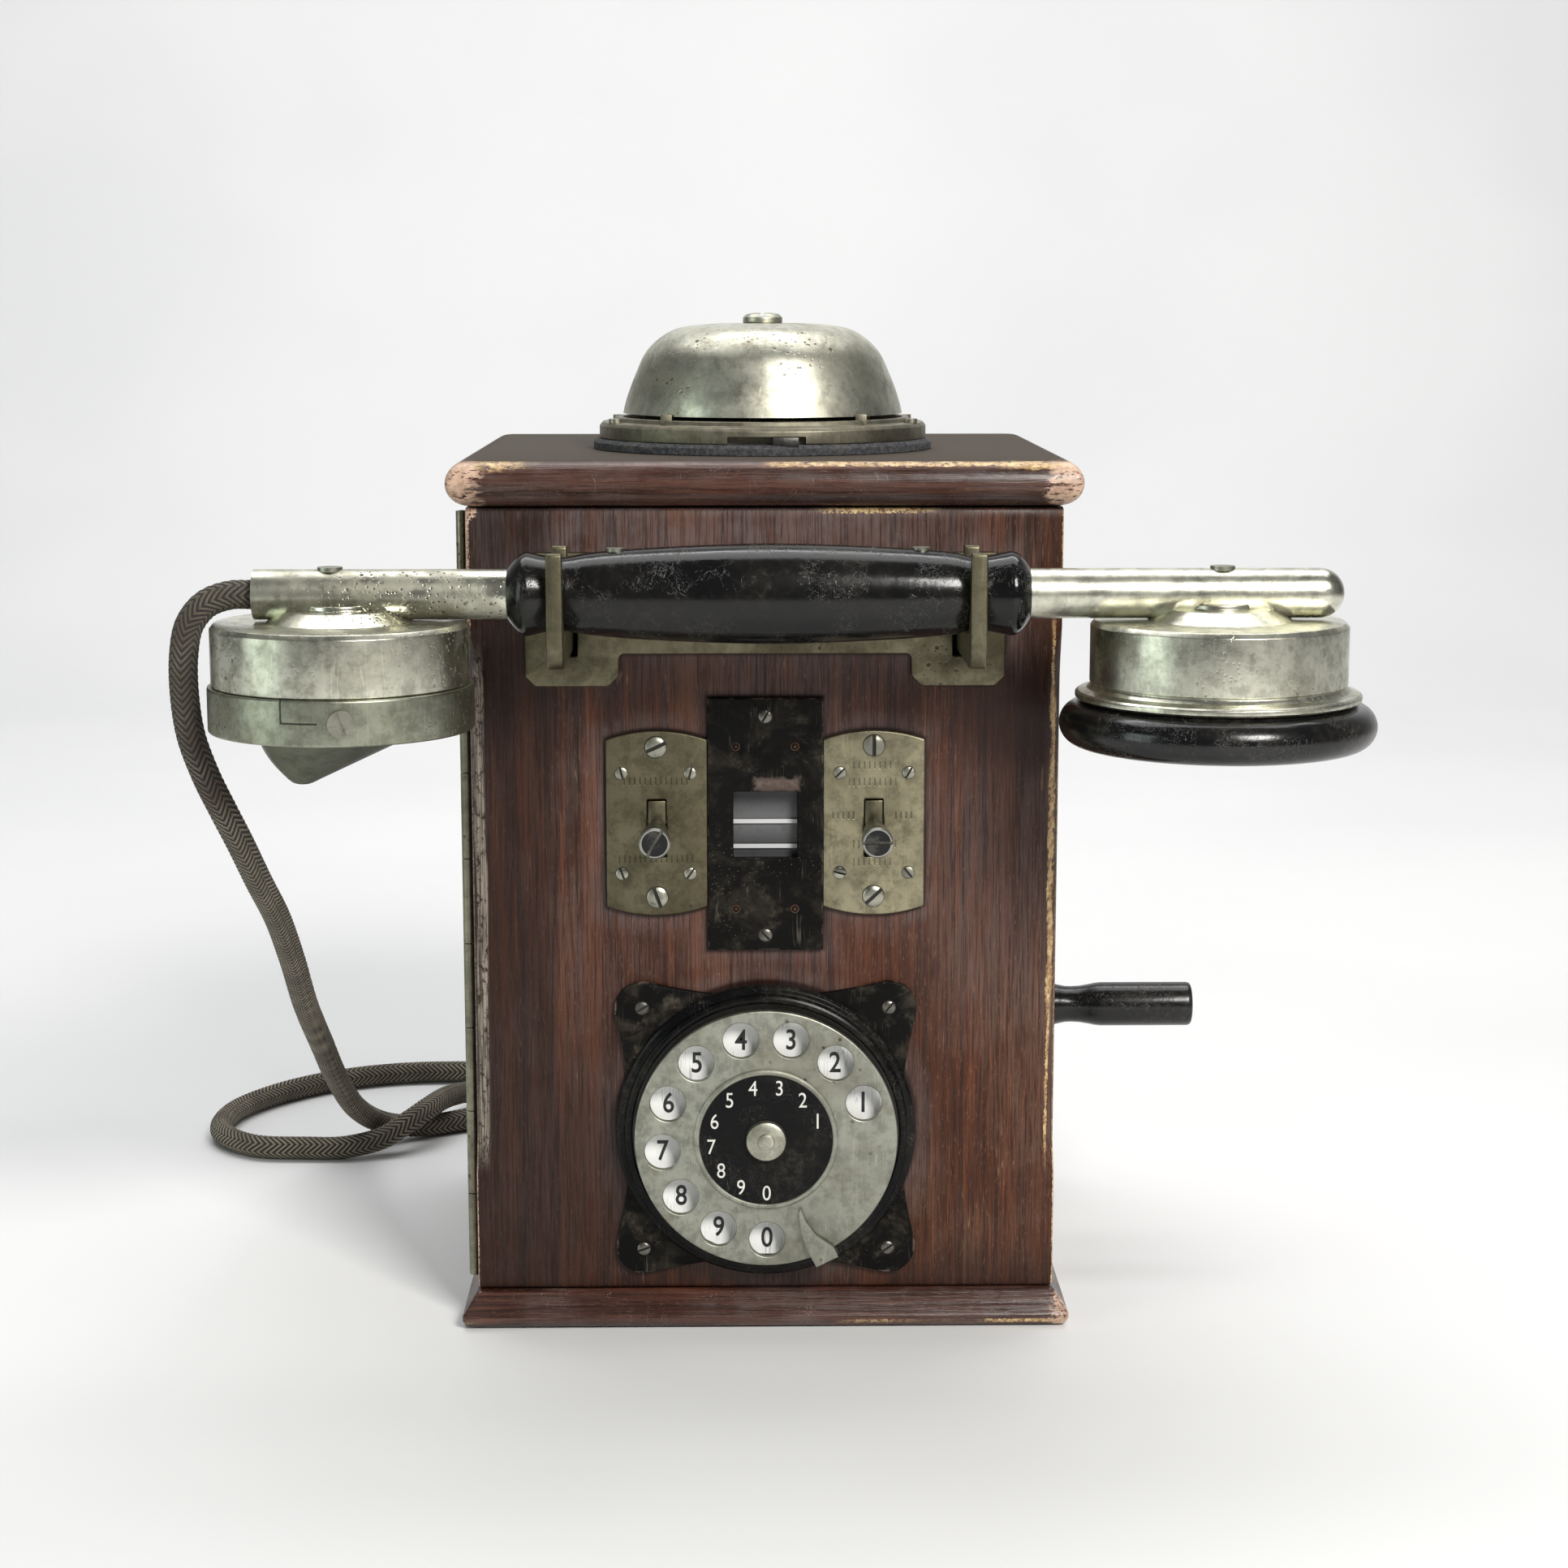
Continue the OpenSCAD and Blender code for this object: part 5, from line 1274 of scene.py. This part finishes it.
def add_dial():
    hole = circle(0, DIAL_Z, 24, 96, hole=True)
    piece("dial_back_plate", plate([dial_plate_outline(), hole], PLATE_Y, FRONT_Y, 0.4), "dial_base_enamel",
          "door", ["dial_base_plate"])
    outline = fillet([(38.8, 0), (43.6, 0), (43.6, 2.3), (42.8, 3), (41.4, 3.25), (41, 5), (40.2, 5.4),
                      (39.2, 5.4), (38.8, 5)], 0.45, 4)
    piece("dial_bezel", ring_lathe(outline, (0, PLATE_Y, DIAL_Z), "Y", 192), "ring_enamel", "door",
          ["dial_ring"])

    spots = [math.radians(FIRST_HOLE + HOLE_STEP * k) for k in range(10)]
    rim = circle(0, DIAL_Z, WHEEL_R, 192)
    holes = [circle(HOLE_CIRCLE_R * math.cos(a), DIAL_Z + HOLE_CIRCLE_R * math.sin(a), HOLE_R, 48, hole=True)
             for a in spots]
    holes.append(circle(0, DIAL_Z, 2.9, 32, hole=True))
    bm = plate([rim, *holes], WHEEL_Y, WHEEL_Y + 1.8, 0.5)
    lathe([(0, -WHEEL_Y), (2.9, -WHEEL_Y), (2.9, 58), (0, 58)], (0, 0, DIAL_Z), "Y", 32, bm)
    piece("finger_wheel_plate", bm, "wheel_nickel", "finger_wheel", ["dial_finger_wheel"])

    piece("label_face", lathe([(0, 0.72), (19.4, 0.72), (19.4, 0.0), (0, 0.0)], (0, WHEEL_Y, DIAL_Z), "Y", 128),
          "label_black", "finger_wheel", ["dial_label_disc"])
    outline = fillet([(19.2, 0), (20.9, 0), (20.9, 0.6), (20.3, 1.05), (19.5, 1.05), (19.2, 0.6)], 0.25, 3)
    piece("label_rim", ring_lathe(outline, (0, WHEEL_Y, DIAL_Z), "Y", 128), "wheel_nickel", "finger_wheel")
    outline = [(0, 3.1), (1.6, 3.05), (2.3, 2.8), (2.5, 2.35), (2.9, 2.3), (4.8, 2.2), (5.6, 1.8),
               (5.9, 1.2), (5.9, 0), (0, 0)]
    piece("dial_hub_nut", lathe(outline, (0, WHEEL_Y - 0.9, DIAL_Z), "Y", 64), "nickel", "finger_wheel",
          ["dial_nut"])

    for k, angle in enumerate(spots):
        text = str((k + 1) % 10)
        x, z = math.cos(angle), math.sin(angle)
        digit(f"number_{text}", text, HOLE_CIRCLE_R * x, DIAL_Z + HOLE_CIRCLE_R * z - 1.1, NUMBER_Y - 0.04,
              6.1, "digit_black", "door", 0.84, 0.13)
        digit(f"label_number_{text}", text, LABEL_CIRCLE_R * x, DIAL_Z + LABEL_CIRCLE_R * z, WHEEL_Y - 0.74,
              4.4, "digit_white", "finger_wheel", 0.85)


def add_crank():
    outline = [(0, 0), (6.2, 0), (6.6, 0.4), (6.55, 1.2), (6.2, 2.6), (5.8, 4.6), (5.7, 6.5), (5.85, 9.3),
               (6.3, 12), (6.75, 14.2), (6.95, 16), (6.95, 43.6), (6.7, 44.5), (6.1, 44.9), (4.2, 44.9),
               (4.2, 43.1), (0, 43.1)]
    piece("crank_grip_handle", lathe(fillet(outline, 0.4, 3, closed=False), (91.9, SHAFT_Y, CRANK_Z), "X", 96),
          "ebonite_worn", "crank_grip", ["crank_handle"], 45)


# ---------- CAD nodes that keep their shape ----------
CAD_FINISH = {
    "side_wood": "back_board",
    "hinge_metal": "hinge_leaf_case hinge_leaf_door hinge_pin",
    "nickel": "crank_bush",
    "ebonite_worn": "cord_gland",
    "steel": "bell_ring_screws magneto_frame crank_shaft",
    "dark_steel": "ringer_frame crank_arm indicator_housing receiver_diaphragm",
    "coil": "ringer_coils induction_coil receiver_unit",
    "brass": "bell_clapper magneto_armature drive_gear contact_springs dial_mechanism mic_capsule",
    "magnet": "magneto_magnets",
    "phenolic": "terminal_strip",
    "key_lever": "key_lever_left key_lever_right",
    "shutter": "indicator_shutter",
    "enamel": "dial_number_plate",
    "wheel_nickel": "dial_finger_stop",
    "nickel_handset": "handset_tube",
    "screw_nickel": "handset_screws",
}


def finish_cad():
    for material, names in CAD_FINISH.items():
        for name in names.split():
            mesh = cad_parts[name].data
            mesh.materials.clear()
            mesh.materials.append(MAT[material])


# ---------- stage and light ----------
def add_stage():
    p = Paint("floor_card")
    p.color = p.mix(p.fade(p.noise(3, 2), 0.3, 0.7), (0.8, 0.8, 0.8), (0.76, 0.76, 0.765))
    p.finish(0.6)
    bm = bmesh.new()
    reach, sweep_y, sweep_r, top = 14, 1.2, 0.8, 3.0
    turns = [math.pi / 2 * k / 16 for k in range(17)]
    profile = [(-reach, 0.0), *[(sweep_y + sweep_r * math.sin(a), sweep_r * (1 - math.cos(a))) for a in turns],
               (sweep_y + sweep_r, top)]
    rows = [[bm.verts.new((x, y, z)) for y, z in profile] for x in (-reach, reach)]
    for k in range(len(profile) - 1):
        bm.faces.new((rows[0][k], rows[1][k], rows[1][k + 1], rows[0][k + 1]))
    mesh = bpy.data.meshes.new("floor")
    bm.to_mesh(mesh)
    bm.free()
    mesh.shade_smooth()
    mesh.materials.append(p.material)
    floor = bpy.data.objects.new("floor", mesh)
    bpy.context.scene.collection.objects.link(floor)


def area_light(name, place, target, size, power, color=(1, 1, 1)):
    data = bpy.data.lights.new(name, "AREA")
    data.shape = "RECTANGLE"
    data.size, data.size_y = size
    data.energy = power
    data.color = color
    light = bpy.data.objects.new(name, data)
    light.location = place
    light.rotation_euler = (Vector(target) - Vector(place)).to_track_quat("-Z", "Y").to_euler()
    bpy.context.scene.collection.objects.link(light)


def add_light():
    world = bpy.data.worlds.new("studio")
    world.use_nodes = True
    world.node_tree.nodes["Background"].inputs["Color"].default_value = (0.9, 0.93, 0.95, 1)
    world.node_tree.nodes["Background"].inputs["Strength"].default_value = 0.14
    bpy.context.scene.world = world
    centre = (0, 0, 0.15)
    area_light("key", (0.62, -1.25, 1.05), centre, (0.5, 0.5), 27, (1.0, 0.98, 0.94))
    area_light("fill", (-1.5, -0.8, 0.5), centre, (0.7, 1.0), 6, (0.86, 1.0, 0.93))
    area_light("top", (0.0, 0.35, 1.5), (0, 0.1, 0.1), (1.6, 0.8), 12)
    area_light("backdrop", (0.0, 0.9, 1.9), (0, 1.9, 0.8), (2.5, 0.6), 22)
    view = bpy.context.scene.view_settings
    view.view_transform = "Standard"
    view.exposure = 0.0


add_camera()
add_cord()
add_cabinet()
add_door()
add_bell()
add_handset()
add_fittings()
add_dial()
add_crank()
finish_cad()
add_stage()
add_light()
bpy.context.view_layer.update()
